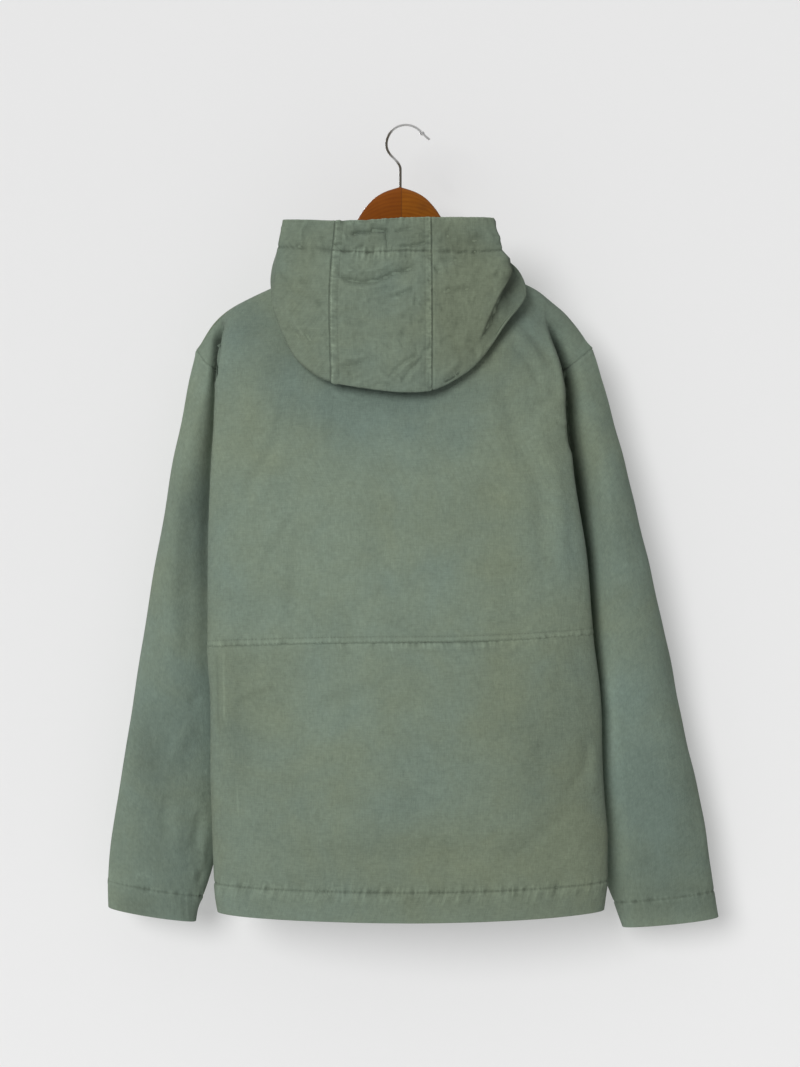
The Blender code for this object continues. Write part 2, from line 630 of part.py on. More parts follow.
# back: left and right halves are one cut piece, joined at the centre column
P_back = np.concatenate([panels["back", "right"][:, ::-1], panels["back", "left"][:, 1:]], axis=1)
N_back = np.concatenate([normals["back", "right"][:, ::-1], normals["back", "left"][:, 1:]], axis=1)
half_cols = len(C) - 1
for i in range(P_back.shape[0]):       # one normal at the centre column for both halves
    N_back[i, half_cols] = unit(normals["back", "right"][i, 0] + normals["back", "left"][i, 0])
shell("back_lower", P_back[:ROW_WAIST + 1], N_back[:ROW_WAIST + 1], CLOTH,
      seams=("top", "first", "last"))
shell("back_upper", P_back[ROW_WAIST:], N_back[ROW_WAIST:], CLOTH,
      seams=("bottom", "top", "first", "last"),
      side_more=lambda i: 1.0 + 3.0 * smooth(2.2 - abs(i - ROWS_WAIST - 0.8)))
for side in SIGN:
    shell("front_" + side, panels["front", side], normals["front", side], CLOTH,
          seams=("top", "last"), flag=cross_flag("front", side))
    shell("sleeve_" + side, panels["sleeve", side], normals["sleeve", side], CLOTH,
          seams=("bottom",), flag=cross_flag("sleeve", side), wrap=True,
          more=lambda j: 3.0 + 6.0 * smooth(2.6 - abs(j - ROWS_ARMHOLE)))


# ---- hood -----------------------------------------------------------------------
hood_guides = {k: Curve(column(HOOD, "u"), [np.array(row[HOOD["columns"].index(k)], float)
                                           for row in HOOD["rows"]]) for k in "EMBR"}
NECK_LIFT, NECK_OUT = 2.6, 1.2     # the hood's seam edge lies over the body's


def hood_neck(u):
    side, w = (1.0, u) if u <= 0.5 else (-1.0, 1 - u)
    if w <= 0.26:
        psi = PSI_FRONT + (NECK_POINT - PSI_FRONT) * w / 0.26
    else:
        psi = NECK_POINT + (math.pi / 2 - NECK_POINT) * (w - 0.26) / 0.24
    out = NECK_OUT * smooth(math.sin(psi) / 0.5)
    return neck_ring(psi, side) + np.array([side * out * math.cos(psi), out * math.sin(psi), NECK_LIFT])


def through(points, rows_first, rows_second, split):
    """Points along a smooth path, so many steps up to points[split] and so many after."""
    pts = np.asarray(points, float)
    knots = np.concatenate([[0], np.cumsum(np.sqrt(np.linalg.norm(np.diff(pts, axis=0), axis=1)))])
    ghost = np.vstack([2 * pts[0] - pts[1], pts, 2 * pts[-1] - pts[-2]])
    gk = np.concatenate([[knots[0] - (knots[1] - knots[0])], knots, [knots[-1] * 2 - knots[-2]]])

    def at(t):
        i = min(max(int(np.searchsorted(knots, t)) - 1, 0), len(knots) - 2)
        p0, p1, p2, p3 = ghost[i:i + 4]
        t0, t1, t2, t3 = gk[i:i + 4]
        a1 = (t1 - t) / (t1 - t0) * p0 + (t - t0) / (t1 - t0) * p1
        a2 = (t2 - t) / (t2 - t1) * p1 + (t - t1) / (t2 - t1) * p2
        a3 = (t3 - t) / (t3 - t2) * p2 + (t - t2) / (t3 - t2) * p3
        b1 = (t2 - t) / (t2 - t0) * a1 + (t - t0) / (t2 - t0) * a2
        b2 = (t3 - t) / (t3 - t1) * a2 + (t - t1) / (t3 - t1) * a3
        return (t2 - t) / (t2 - t1) * b1 + (t - t1) / (t2 - t1) * b2

    def even(t_from, t_to, count):
        fine = np.linspace(t_from, t_to, 61)
        P = np.array([at(t) for t in fine])
        s = np.concatenate([[0], np.cumsum(np.linalg.norm(np.diff(P, axis=0), axis=1))])
        return [at(np.interp(s[-1] * k / count, s, fine)) for k in range(count + 1)]

    # the bottom fold keeps the points just before and after it as rows of their own
    first = even(knots[0], knots[split - 1], rows_first - 1)
    second = even(knots[split + 1], knots[-1], rows_second - 1)
    return np.array(first + [at(knots[split])] + second)


def hood_profile(u):
    E, M, B, R = (hood_guides[k](u) for k in "EMBR")
    N = hood_neck(u)
    d1, d2 = unit(M - B), unit(R - B)
    # the two layers part sideways at the neck and backwards over the back
    k = smooth((0.22 - abs(u - 0.5)) / 0.06)
    p = unit((1 - k) * unit(d1 - d2) + k * np.array([0, 1.0, 0]))
    apart = (1 - k) * 5.0 * max(0.0, float(np.dot(d1, d2))) + k * 4.5
    near = min(12.0, 0.35 * np.linalg.norm(M - B), 0.35 * np.linalg.norm(R - B))
    B1 = B + near * d1 + apart * p * near / 12 * (1 - 0.6 * k)
    B2 = B + near * d2 - apart * p * near / 12
    return through([E, M, B1, B, B2, R, N], HOOD_ROWS_OUTER, HOOD_ROWS_RETURN, 3)


def hood_columns():
    front = [0.26 * j / 6 for j in range(6)]
    half = front + [0.26, 0.30, 0.34, 0.36, 0.38, 0.40, 0.42, 0.46]
    return half + [0.50] + [1 - u for u in reversed(half)]


HU = hood_columns()
P_hood = np.array([hood_profile(u) for u in HU]).transpose(1, 0, 2)
N_hood = shared_normals({"hood": (P_hood, 1, False)})["hood"]
SEAM_LEFT, SEAM_RIGHT = 12, 16        # columns of the two long hood seams
shell("hood_left", P_hood[:, :SEAM_LEFT + 1], N_hood[:, :SEAM_LEFT + 1], CLOTH, seams=("last",))
shell("hood_centre", P_hood[:, SEAM_LEFT:SEAM_RIGHT + 1], N_hood[:, SEAM_LEFT:SEAM_RIGHT + 1],
      CLOTH, seams=("first", "last"))
shell("hood_right", P_hood[:, SEAM_RIGHT:], N_hood[:, SEAM_RIGHT:], CLOTH, seams=("first",))


# ---- hanger ---------------------------------------------------------------------
def loft(name, rings, mat, at=(0, 0, 0)):
    """A closed body through rings of equal count, with a point at each end."""
    rings = [np.asarray(r, float) for r in rings]
    n = len(rings[0])
    pts = [p for r in rings for p in r]
    faces = []
    for i in range(len(rings) - 1):
        for j in range(n):
            a, b = i * n + j, i * n + (j + 1) % n
            faces.append((a, b, b + n, a + n))
    pts.append(rings[0].mean(axis=0))
    pts.append(rings[-1].mean(axis=0))
    first, last = len(pts) - 2, len(pts) - 1
    base = (len(rings) - 1) * n
    for j in range(n):
        faces.append((first, (j + 1) % n, j))
        faces.append((last, base + j, base + (j + 1) % n))
    # faces look out when the first face's side does
    P = np.array(pts)
    volume = 0.0
    for f in faces:
        for k in range(1, len(f) - 1):
            volume += np.dot(P[f[0]], np.cross(P[f[k]], P[f[k + 1]]))
    if volume < 0:
        faces = [tuple(reversed(f)) for f in faces]
    return add_object(name, pts, faces, mat, at)


wood_top = curve_of(WOOD_TOP, "offset", "z")
wood_high = curve_of(WOOD_TOP, "offset", "height")


def wood_y(side, offset):
    at_neck = NECK_POINT_Y
    if offset < NECK_OFFSET:
        return at_neck * smooth(offset / 62)
    return ridge(side, offset)[1]


def wood_ring(side, offset, scale=1.0):
    top = wood_top(min(offset, 210)) - max(offset - 210, 0) * 0.95
    high = wood_high(min(offset, 210))
    mid = np.array([X0 + SIGN[side] * offset, wood_y(side, offset), top - high / 2])
    thin = WOOD_HALF - 1.8 * smooth((offset - 120) / 80)
    ring = []
    for k in range(12):
        a = 2 * math.pi * k / 12
        ca, sa = math.cos(a), math.sin(a)
        y = math.copysign(abs(ca) ** 0.7, ca) * thin * scale
        z = math.copysign(abs(sa) ** 0.7, sa) * high / 2 * scale
        ring.append(mid + np.array([0, y, z]))
    return ring


stations = [12, 22, 31, 39, 46, 52, 57, 62, 67, 71, 75, 79, 84, 95, 115, 140, 165, 190]
rings = []
end = WOOD_REACH_RIGHT
rings.append(wood_ring("right", end, 0.45))
rings.append(wood_ring("right", end - 2.5, 0.8))
rings.append(wood_ring("right", end - 8, 1.0))
for o in reversed([s for s in stations if s < end - 12]):
    rings.append(wood_ring("right", o))
rings.append(wood_ring("left", 0))
for o in [s for s in stations if s < WOOD_REACH_LEFT - 12]:
    rings.append(wood_ring("left", o))
end = WOOD_REACH_LEFT
rings.append(wood_ring("left", end - 8, 1.0))
rings.append(wood_ring("left", end - 2.5, 0.8))
rings.append(wood_ring("left", end, 0.45))
wood = loft("hanger_wood", rings, WOOD)

# hole for the hook's stem
HOLE_R, HOLE_DEPTH = 1.8, 18.0
wood_apex = -73.0
hole = loft("hook_hole", [[(HOOK_STEM_X + HOLE_R * math.cos(a), HOLE_R * math.sin(a), z)
                           for a in (2 * math.pi * (k + 0.37) / 14 for k in range(14))]
                          for z in (wood_apex - HOLE_DEPTH, wood_apex + 6)], WOOD)
hole.hide_render = True
hole.display_type = "WIRE"
cut = wood.modifiers.new("stem_hole", "BOOLEAN")
cut.operation = "DIFFERENCE"
cut.object = hole
cut.solver = "EXACT"


def tube_rings(path, radii, sides):
    """Rings square to a path that lies in the XZ plane."""
    path = np.asarray(path, float)
    rings = []
    for i, p in enumerate(path):
        t = unit(path[min(i + 1, len(path) - 1)] - path[max(i - 1, 0)])
        across = np.array([t[2], 0, -t[0]])
        rings.append([p + radii[i] * (math.cos(a) * across + math.sin(a) * np.array([0, 1, 0]))
                      for a in (2 * math.pi * k / sides for k in range(sides))])
    return rings


# the hook: stem, a lean outwards, the bend, a bead on the wire and a short straight end
stem = [(HOOK_STEM_X, 0, z) for z in (wood_apex - HOLE_DEPTH + 1.0, wood_apex - 8, wood_apex + 8, -57, -51)]
lean = [(8.2, 0, -46.5), (11.2, 0, -42), (15, 0, -38), (18.4, 0, -34.6), (21, 0, -31), (22.6, 0, -27.5)]
bend = []
arc_z = HOOK_WIRE - HOOK_BEND
for k in range(19):
    a = math.radians(-5 + 150 * k / 18)
    bend.append((HOOK_BEND * math.cos(a), 0, arc_z + HOOK_BEND * math.sin(a)))
end = np.array((-28.4, 0, -16.4))
hook_path = stem + lean + bend[:-1]
radii = [HOOK_WIRE] * len(hook_path)
# the bead: rings that swell from the wire and close on it again
bead = np.array(bend[-1], float)
direction = unit(end - bead)
span = math.degrees(math.acos(HOOK_WIRE / HOOK_BALL))
for k in range(7):
    a = math.radians(-span + 2 * span * k / 6)
    hook_path.append(tuple(bead + direction * HOOK_BALL * math.sin(a)))
    radii.append(HOOK_BALL * math.cos(a))
for share, r in ((0.55, HOOK_WIRE), (0.93, HOOK_WIRE), (1.0, HOOK_WIRE * 0.8)):
    hook_path.append(tuple(bead + (end - bead) * share))
    radii.append(r)
loft("hanger_hook", tube_rings(hook_path, radii, 12), STEEL)


# ---- zip ------------------------------------------------------------------------
# the middle line between the two front edges, from the hem up
front_mid = (panels["front", "left"][:, 0] + panels["front", "right"][:, 0]) / 2
CHAIN_BOTTOM, CHAIN_TOP = -941.0, -252.4
CHAIN_HALF, TAPE_OUTER, TAPE_WALL = 3.0, 12.0, 0.8


def mid_at(z):
    return np.array([np.interp(z, front_mid[:, 2], front_mid[:, k]) for k in (0, 1)])


def strip(name, x_from, x_to, y_from, y_to, z_from, z_to, mat):
    """A long bar along the front opening; y is measured from the cloth's middle."""
    heights = [z_from] + [z for z in front_mid[:, 2] if z_from + 3 < z < z_to - 3] + [z_to]
    rings = []
    for z in heights:
        x, y = mid_at(z)
        rings.append([(x + x_from, y + y_from, z), (x + x_to, y + y_from, z),
                      (x + x_to, y + y_to, z), (x + x_from, y + y_to, z)])
    return loft(name, rings, mat)


strip("zip_chain", -CHAIN_HALF, CHAIN_HALF, -1.7, 0.6, CHAIN_BOTTOM, CHAIN_TOP, ZIP)


def tape(name, side):
    """A strip behind one front edge, made from that panel's first two columns."""
    P, N = panels["front", side], normals["front", side]
    rings = []
    for i in range(len(V)):
        p, q = P[i, 0], P[i, 1]
        n = N[i, 0]
        across = unit(q - p)
        depth = WALL / 2 + 0.35 + TAPE_WALL / 2
        lift = 1.2 if i == 0 else (-3.0 if i == len(V) - 1 else 0.0)
        n = unit(n * np.array([1, 1, 0]))
        ring = []
        inner = np.array([-SIGN[side] * (FRONT_EDGE - 0.25), 0, 0])
        outer = across * (TAPE_OUTER - FRONT_EDGE)
        for w, d in ((inner, -1), (outer, -1), (outer, 1), (inner, 1)):
            ring.append(p + w - n * (depth + d * TAPE_WALL / 2) + np.array([0, 0, lift]))
        rings.append(ring)
    return loft(name, rings, TAPE)


tape("zip_tape_left", "left")
tape("zip_tape_right", "right")

SLIDER_Z = (-252.0, -240.0)
slider_x, slider_y = mid_at(-246.0)
FACE = slider_y - 3.6                   # front face of the slider
PIVOT = np.array([slider_x, FACE - 1.6, -246.5])


def box(name, lo, hi, mat, at=(0, 0, 0)):
    ring = [(lo[0], lo[1]), (hi[0], lo[1]), (hi[0], hi[1]), (lo[0], hi[1])]
    return loft(name, [[(x, y, lo[2]) for x, y in ring], [(x, y, hi[2]) for x, y in ring]], mat, at)


slider = box("zip_slider", (slider_x - 4.2, FACE, SLIDER_Z[0]),
             (slider_x + 4.2, slider_y + 0.4, SLIDER_Z[1]), ZIP)
arch = box("slider_bail", (slider_x - 1, FACE - 4.8, -250.6), (slider_x + 1, FACE + 0.6, -242.4), ZIP)
arch_hole = box("slider_bail_hole", (slider_x - 2, FACE - 3.2, -249.0), (slider_x + 2, FACE, -244.0), ZIP)
for helper in (arch, arch_hole):
    helper.hide_render = True
    helper.display_type = "WIRE"
for label, operation, helper in (("bail", "UNION", arch), ("bail_hole", "DIFFERENCE", arch_hole)):
    m = slider.modifiers.new(label, "BOOLEAN")
    m.operation = operation
    m.object = helper
    m.solver = "EXACT"

# the pull tab hangs from the bail: its top bar sits inside the bail
PULL_WIDTH, PULL_THICK, PULL_LONG = 3.25, 1.4, 26.0
BAR_HALF = 1.1
SLOT_HALF, SLOT_LONG = 1.6, 6.0
outline = []
top_z, low_z = PIVOT[2] + BAR_HALF, PIVOT[2] + BAR_HALF - PULL_LONG
outline += [(-PULL_WIDTH + 0.8, top_z), (-PULL_WIDTH, top_z - 0.8), (-PULL_WIDTH, low_z + 2.5)]
for k in range(1, 6):
    a = math.pi + math.pi / 2 * k / 6
    outline.append((-PULL_WIDTH + 2.5 + 2.5 * math.cos(a), low_z + 2.5 + 2.5 * math.sin(a)))
outline += [(-x, z) for x, z in reversed(outline)]
y0, y1 = PIVOT[1] - PULL_THICK / 2, PIVOT[1] + PULL_THICK / 2
pull = loft("zip_pull", [[(slider_x + x, y0, z) for x, z in outline],
                         [(slider_x + x, y1, z) for x, z in outline]], ZIP, at=PIVOT)
slot = box("pull_slot", (slider_x - SLOT_HALF, y0 - 1, PIVOT[2] - BAR_HALF - SLOT_LONG),
           (slider_x + SLOT_HALF, y1 + 1, PIVOT[2] - BAR_HALF), ZIP)
slot.hide_render = True
slot.display_type = "WIRE"
m = pull.modifiers.new("slot", "BOOLEAN")
m.operation = "DIFFERENCE"
m.object = slot
m.solver = "EXACT"
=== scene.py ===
"""The looks of a hooded parka on a wooden hanger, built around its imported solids.

Frame: +Z up, +Y towards the garment's back, +X towards the wearer's left, origin at
the inside top of the hook. Sizes in the tables are in millimetres. The cloth's middle
surface is worked out from the same tables as the solids, on a finer grid, and every
cut-and-sewn piece is a thin closed shell on it with its creases, puckers, seams and
stitches. Creases on the back are placed on a drawing plane of 1.2 mm squares that
faces the garment's back, counted from its top left corner.
"""
import math

import bmesh
import bpy
import numpy as np
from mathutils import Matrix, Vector


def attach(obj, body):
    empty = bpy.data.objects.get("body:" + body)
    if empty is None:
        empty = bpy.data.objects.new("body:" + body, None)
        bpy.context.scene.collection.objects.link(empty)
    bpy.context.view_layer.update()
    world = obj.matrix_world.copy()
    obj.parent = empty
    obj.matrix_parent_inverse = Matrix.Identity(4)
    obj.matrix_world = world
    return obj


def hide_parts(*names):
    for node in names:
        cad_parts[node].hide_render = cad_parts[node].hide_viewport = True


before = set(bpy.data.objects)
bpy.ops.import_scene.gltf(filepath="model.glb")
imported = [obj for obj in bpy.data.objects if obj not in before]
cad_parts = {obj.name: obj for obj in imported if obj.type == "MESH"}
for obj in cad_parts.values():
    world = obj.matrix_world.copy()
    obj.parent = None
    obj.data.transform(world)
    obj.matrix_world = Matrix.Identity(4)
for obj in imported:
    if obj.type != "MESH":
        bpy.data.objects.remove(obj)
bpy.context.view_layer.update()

MM = 0.001

# ---- driving sizes, as the solids have them ---------------------------------
WALL = 1.6            # cloth wall, two turned layers pressed together
GAP = 0.3             # seam gap between two sewn pieces
X0 = 7.2              # sideways place of the garment's middle at the neck
FRONT_EDGE = 5.0      # half the opening that the zip fills
NECK_WIDTH = 84.0     # half width of the neck ring, at the shoulder line
NECK_POINT_Y = -8.3   # where the shoulder line meets the ring
NECK_BACK_Y = 18.0    # the ring at centre back
NECK_FRONT_Y = -66.0  # and at centre front
NECK_TOP = -158.0     # height of the ring at centre back
NECK_POINT_Z = -166.5
NECK_FRONT_Z = -235.0

# column counts from the centre to the side, and row counts going up
COLS_NECK, COLS_PANEL, COLS_TUCK = 14, 16, 9
ROWS_SKIRT, ROWS_WAIST, ROWS_ARMHOLE = 18, 9, 24
SLEEVE_ROWS_CAP, SLEEVE_ROWS_ARM = 14, 30

# shoulder line: height, and distance from X0 on the left and right
SHOULDER = dict(
    columns=("z", "left", "right"),
    rows=((-163, 75, 75), (-174, 110, 110), (-195, 158, 163), (-209, 187, 182),
          (-223, 210, 199), (-237, 225, 211), (-251, 235, 221), (-260, 241, 227),
          (-266, 246, 233)))

# fold edge where the back panel turns under, height and x
FOLD_LEFT = dict(
    columns=("z", "x"),
    rows=((-941, 225), (-926, 227.5), (-883, 230), (-840, 231.7), (-778, 233.5),
          (-694, 233.5), (-622, 237), (-520, 236), (-425, 233.5), (-365, 230),
          (-317, 227.5), (-275, 225), (-251, 218), (-229, 211), (-214, 204.4)))
FOLD_RIGHT = dict(
    columns=("z", "x"),
    rows=((-939, -236), (-918, -239), (-906, -240.8), (-855, -240.8), (-810, -237),
          (-767, -234.8), (-706, -233.6), (-671, -231), (-614, -224), (-588, -221.6),
          (-520, -215.6), (-420, -200), (-390, -196.4), (-378, -192.2), (-345, -190.4),
          (-301, -186.8), (-286, -183.2), (-270, -177.2), (-253, -171.3),
          (-233, -166.5), (-201, -163)))
FOLD_Y = dict(columns=("z", "y"), rows=((-945, 6), (-617, 8), (-450, 12), (-365, 14), (-200, 14)))

# middle lines: how far the back stands out, the front, and the sideways drift
CENTRE = dict(
    columns=("z", "x", "back_y", "front_y"),
    rows=((-945, -5, 66, -84), (-800, -1, 64.5, -85), (-617, 6, 61, -84),
          (-450, 8, 56, -80), (-340, 7.8, 48, -73), (-280, 7.4, 41, -68),
          (-235, 7.2, 33.5, -66), (-200, 7.2, 27, -66), (-158, 7.2, 18, -66)))

# levels of the seams: at the centre, on the fold edges and on the side seams
LEVELS = dict(
    columns=("name", "centre", "fold_left", "fold_right", "side_left", "side_right"),
    rows=(("hem", -944.6, -940.8, -938.4, -940.0, -937.5),
          ("waist", -617.2, -624.0, -609.0, -624.0, -609.0),
          ("underarm", -440.0, -442.0, -442.0, -455.0, -455.0)))

# side seam in the tucked wall
SIDE = dict(
    columns=("z", "left", "right", "y"),
    rows=((-945, 219, -230, -10), (-850, 209, -218, -16), (-780, 203, -205, -17),
          (-617, 204, -193, -18), (-455, 203, -172, -38)))

# armhole seams, from the underarm up to the shoulder tip
ARMHOLE_BACK_LEFT = dict(
    columns=("z", "x", "y"),
    rows=((-455, 203, -38), (-430, 205, -24), (-390, 208, -14), (-345, 214, -8),
          (-312, 222, -6), (-289.6, 232, -8), (-281, 242, -16), (-266.3, 253.3, -28)))
ARMHOLE_BACK_RIGHT = dict(
    columns=("z", "x", "y"),
    rows=((-455, -172, -38), (-430, -172, -24), (-390, -174, -14), (-345, -178, -8),
          (-312, -184, -6), (-291, -193, -8), (-277, -210, -16), (-264, -225.6, -28)))
ARMHOLE_FRONT = dict(
    columns=("rise", "left", "right", "y"),
    rows=((0, 203, -172, -38), (0.2, 206, -175, -58), (0.45, 212, -182, -66),
          (0.67, 222, -194, -62), (0.83, 233, -206, -54), (0.93, 243, -216.5, -42),
          (1, 253.3, -225.6, -28)))

# sleeve edges as seen from behind
SLEEVE_OUTER_LEFT = ((253.3, -266.3), (262.5, -307), (271, -351), (282, -399), (292, -454),
                     (304, -521), (315, -585), (324.5, -643), (334, -707), (344, -771),
                     (354, -837), (360, -886), (362, -910), (362.5, -923), (362, -943))
SLEEVE_INNER_LEFT = ((203, -455), (212, -461.5), (220, -480), (221.5, -545), (221.5, -630),
                     (221, -715), (222.5, -776), (225, -825), (230, -867), (237, -898), (248, -932),
                     (254, -946.5), (256.5, -960))
SLEEVE_OUTER_RIGHT = ((-225.6, -264), (-237, -300), (-252, -351), (-265, -399), (-277, -448),
                      (-294, -521), (-305, -570), (-317, -618), (-331, -691), (-346.5, -764),
                      (-357.5, -813), (-366, -861), (-373, -918.5), (-379, -955))
SLEEVE_INNER_RIGHT = ((-172, -455), (-182, -462), (-196, -480), (-203, -521), (-210.5, -606),
                      (-216, -691), (-222, -776), (-228, -837), (-236, -886), (-245, -916), (-250.5, -927),
                      (-256.6, -945), (-264, -967))
CAP_OUTER, CAP_INNER = 226.0, 37.0   # lengths of the sleeve cap on its two edges
SLEEVE_DEPTH = dict(
    columns=("along", "half_depth", "y"),
    rows=((0, 30, -36), (0.15, 38, -40), (0.33, 47, -43), (0.55, 43, -45),
          (0.8, 30, -44), (1, 21, -40)))

# hood guide lines around the neck, from the left front edge to the right one:
# E is the free edge, M half way down the outer layer, B the bottom fold,
# R on the inner layer that runs back up to the neck seam
HOOD = dict(
    columns=("u", "E", "M", "B", "R"),
    rows=((0.00, (12, -72, -196), (12, -75, -208), (12, -76, -218), (12, -74, -227)),
          (0.09, (45, -66, -180), (50, -68, -192), (54, -67, -203), (56, -62, -211)),
          (0.18, (100, -38, -148), (110, -36, -158), (112, -32, -168), (105, -28, -176)),
          (0.26, (134, -12, -126), (148, -8, -146), (152, 2, -168), (124, -1, -163)),
          (0.30, (143, 10, -119), (153, 12, -150), (160, 18, -190), (132, 14, -174)),
          (0.34, (145.6, 30, -117), (152, 34, -155), (158, 36, -215), (122, 22, -196)),
          (0.38, (115, 34, -117.5), (122, 50, -190), (129, 54, -283), (100, 33, -232)),
          (0.42, (84, 34, -118.5), (90, 58, -203), (88, 63, -311), (70, 38, -245)),
          (0.46, (45, 34, -117.5), (48, 60, -205), (50, 68, -318), (40, 42, -248)),
          (0.50, (7.2, 34, -115), (7.2, 60, -205), (7.2, 69, -323), (7.2, 43, -245)),
          (0.54, (-11, 34, -114.6), (-11.5, 60, -204), (-11.5, 69, -323), (-9, 43, -245)),
          (0.58, (-30, 34, -114.3), (-30.7, 58, -203), (-30.5, 67, -321), (-24, 41, -245)),
          (0.62, (-64, 34, -114.3), (-69, 54, -203), (-76, 61, -296), (-60, 35, -238)),
          (0.66, (-102, 30, -114.4), (-116, 42, -165), (-118, 52, -241), (-95, 24, -198)),
          (0.70, (-107, 8, -118), (-109, 14, -151), (-142.5, 28, -203), (-110, 13, -175)),
          (0.74, (-105, -14, -127), (-109, -12, -148), (-121, -2, -170), (-106, -3, -162)),
          (0.82, (-84, -40, -150), (-95, -38, -160), (-98, -34, -168), (-90, -29, -176)),
          (0.91, (-31, -66, -180), (-36, -68, -192), (-40, -67, -203), (-42, -62, -211)),
          (1.00, (2, -72, -196), (2, -75, -208), (2, -76, -218), (2, -74, -227))))

# hanger: top edge of the wood, offset from X0
WOOD_TOP = dict(
    columns=("offset", "z", "height"),
    rows=((0, -73, 52), (19, -79, 49), (31, -86, 47), (38.5, -93.4, 45), (44.4, -100.6, 43),
          (49, -107.8, 41), (54, -116, 39), (59, -127, 37), (64, -139, 36), (69, -150.5, 34),
          (74, -161.5, 32), (79, -168.5, 31), (85, -171.5, 30), (95, -175.5, 29),
          (110, -180, 28), (158, -201, 26), (187, -216.5, 23), (210, -231, 19)))
WOOD_HALF = 6.5       # half thickness of the wood
WOOD_REACH_LEFT, WOOD_REACH_RIGHT = 212.0, 186.0

HOOK_WIRE = 1.5       # radius of the hook's wire
HOOK_BEND = 23.5      # radius of its bend, to the middle of the wire
HOOK_BALL = 2.9       # radius of the ball on its end
HOOK_STEM_X = 6.7

# ---- small helpers -----------------------------------------------------------


def column(table, name):
    i = table["columns"].index(name)
    return [row[i] for row in table["rows"]]


def smooth(t):
    t = np.clip(t, 0.0, 1.0)
    return t * t * (3 - 2 * t)


class Curve:
    """A smooth curve through a table that never overshoots between its rows."""

    def __init__(self, xs, ys):
        order = np.argsort(xs)
        self.x = np.asarray(xs, float)[order]
        self.y = np.asarray(ys, float)[order]
        if self.y.ndim == 1:
            self.y = self.y[:, None]
            self.flat = True
        else:
            self.flat = False
        h = np.diff(self.x)
        d = np.diff(self.y, axis=0) / h[:, None]
        m = np.zeros_like(self.y)
        for i in range(1, len(self.x) - 1):
            w1, w2 = 2 * h[i] + h[i - 1], h[i] + 2 * h[i - 1]
            same = d[i - 1] * d[i] > 0
            for k in np.nonzero(same)[0]:
                m[i, k] = (w1 + w2) / (w1 / d[i - 1, k] + w2 / d[i, k])
        m[0], m[-1] = d[0], d[-1]
        self.h, self.m = h, m

    def __call__(self, t):
        t = min(max(float(t), self.x[0]), self.x[-1])
        i = min(max(int(np.searchsorted(self.x, t)) - 1, 0), len(self.h) - 1)
        u = (t - self.x[i]) / self.h[i]
        a, b = self.y[i], self.y[i + 1]
        ma, mb = self.m[i] * self.h[i], self.m[i + 1] * self.h[i]
        out = ((2 * u ** 3 - 3 * u ** 2 + 1) * a + (u ** 3 - 2 * u ** 2 + u) * ma
               + (-2 * u ** 3 + 3 * u ** 2) * b + (u ** 3 - u ** 2) * mb)
        return float(out[0]) if self.flat else out


def curve_of(table, key, value):
    return Curve(column(table, key), column(table, value))


def path_by_length(points):
    """A smooth path through points, called with the length along it."""
    pts = np.asarray(points, float)
    s = np.concatenate([[0], np.cumsum(np.linalg.norm(np.diff(pts, axis=0), axis=1))])
    return Curve(s, pts), s[-1]


def unit(a):
    a = np.asarray(a, float)
    return a / max(np.linalg.norm(a), 1e-9)


# ---- the body of the garment -------------------------------------------------
SIGN = {"left": 1.0, "right": -1.0}
shoulder_z = {s: curve_of(SHOULDER, s, "z") for s in SIGN}
fold_x = {"left": curve_of(FOLD_LEFT, "z", "x"), "right": curve_of(FOLD_RIGHT, "z", "x")}
fold_y = curve_of(FOLD_Y, "z", "y")
centre_x = curve_of(CENTRE, "z", "x")
back_y = curve_of(CENTRE, "z", "back_y")
front_y = curve_of(CENTRE, "z", "front_y")
side_x = {s: curve_of(SIDE, "z", s) for s in SIGN}
side_y = curve_of(SIDE, "z", "y")
armhole_back = {
    "left": Curve(column(ARMHOLE_BACK_LEFT, "z"),
                  [row[1:] for row in ARMHOLE_BACK_LEFT["rows"]]),
    "right": Curve(column(ARMHOLE_BACK_RIGHT, "z"),
                   [row[1:] for row in ARMHOLE_BACK_RIGHT["rows"]])}
armhole_front_x = {s: curve_of(ARMHOLE_FRONT, "rise", s) for s in SIGN}
armhole_front_y = curve_of(ARMHOLE_FRONT, "rise", "y")
TIP = {"left": np.array(ARMHOLE_BACK_LEFT["rows"][-1][1:] + (ARMHOLE_BACK_LEFT["rows"][-1][0],), float),
       "right": np.array(ARMHOLE_BACK_RIGHT["rows"][-1][1:] + (ARMHOLE_BACK_RIGHT["rows"][-1][0],), float)}
FOLD_TOP = {"left": 204.4 - X0, "right": 163.0 + X0}      # offset where the fold edge meets the shoulder
TIP_OFFSET = {s: abs(TIP[s][0] - X0) for s in SIGN}


def neck_ring(psi, side=1.0):
    """The neck seam: angle 90 degrees at centre back, 0 at the shoulder line."""
    h = math.sin(psi)
    if h >= 0:
        y = NECK_POINT_Y + (NECK_BACK_Y - NECK_POINT_Y) * h
        z = NECK_TOP + (NECK_POINT_Z - NECK_TOP) * (1 - h) ** 1.6
    else:
        y = NECK_POINT_Y - (NECK_POINT_Y - NECK_FRONT_Y) * -h
        z = NECK_POINT_Z + (NECK_FRONT_Z - NECK_POINT_Z) * (-h) ** 1.25
    return np.array([X0 + side * NECK_WIDTH * math.cos(psi), y, z])


NECK_POINT = 0.0
NECK_OFFSET = NECK_WIDTH
PSI_FRONT = -math.acos(FRONT_EDGE / NECK_WIDTH)


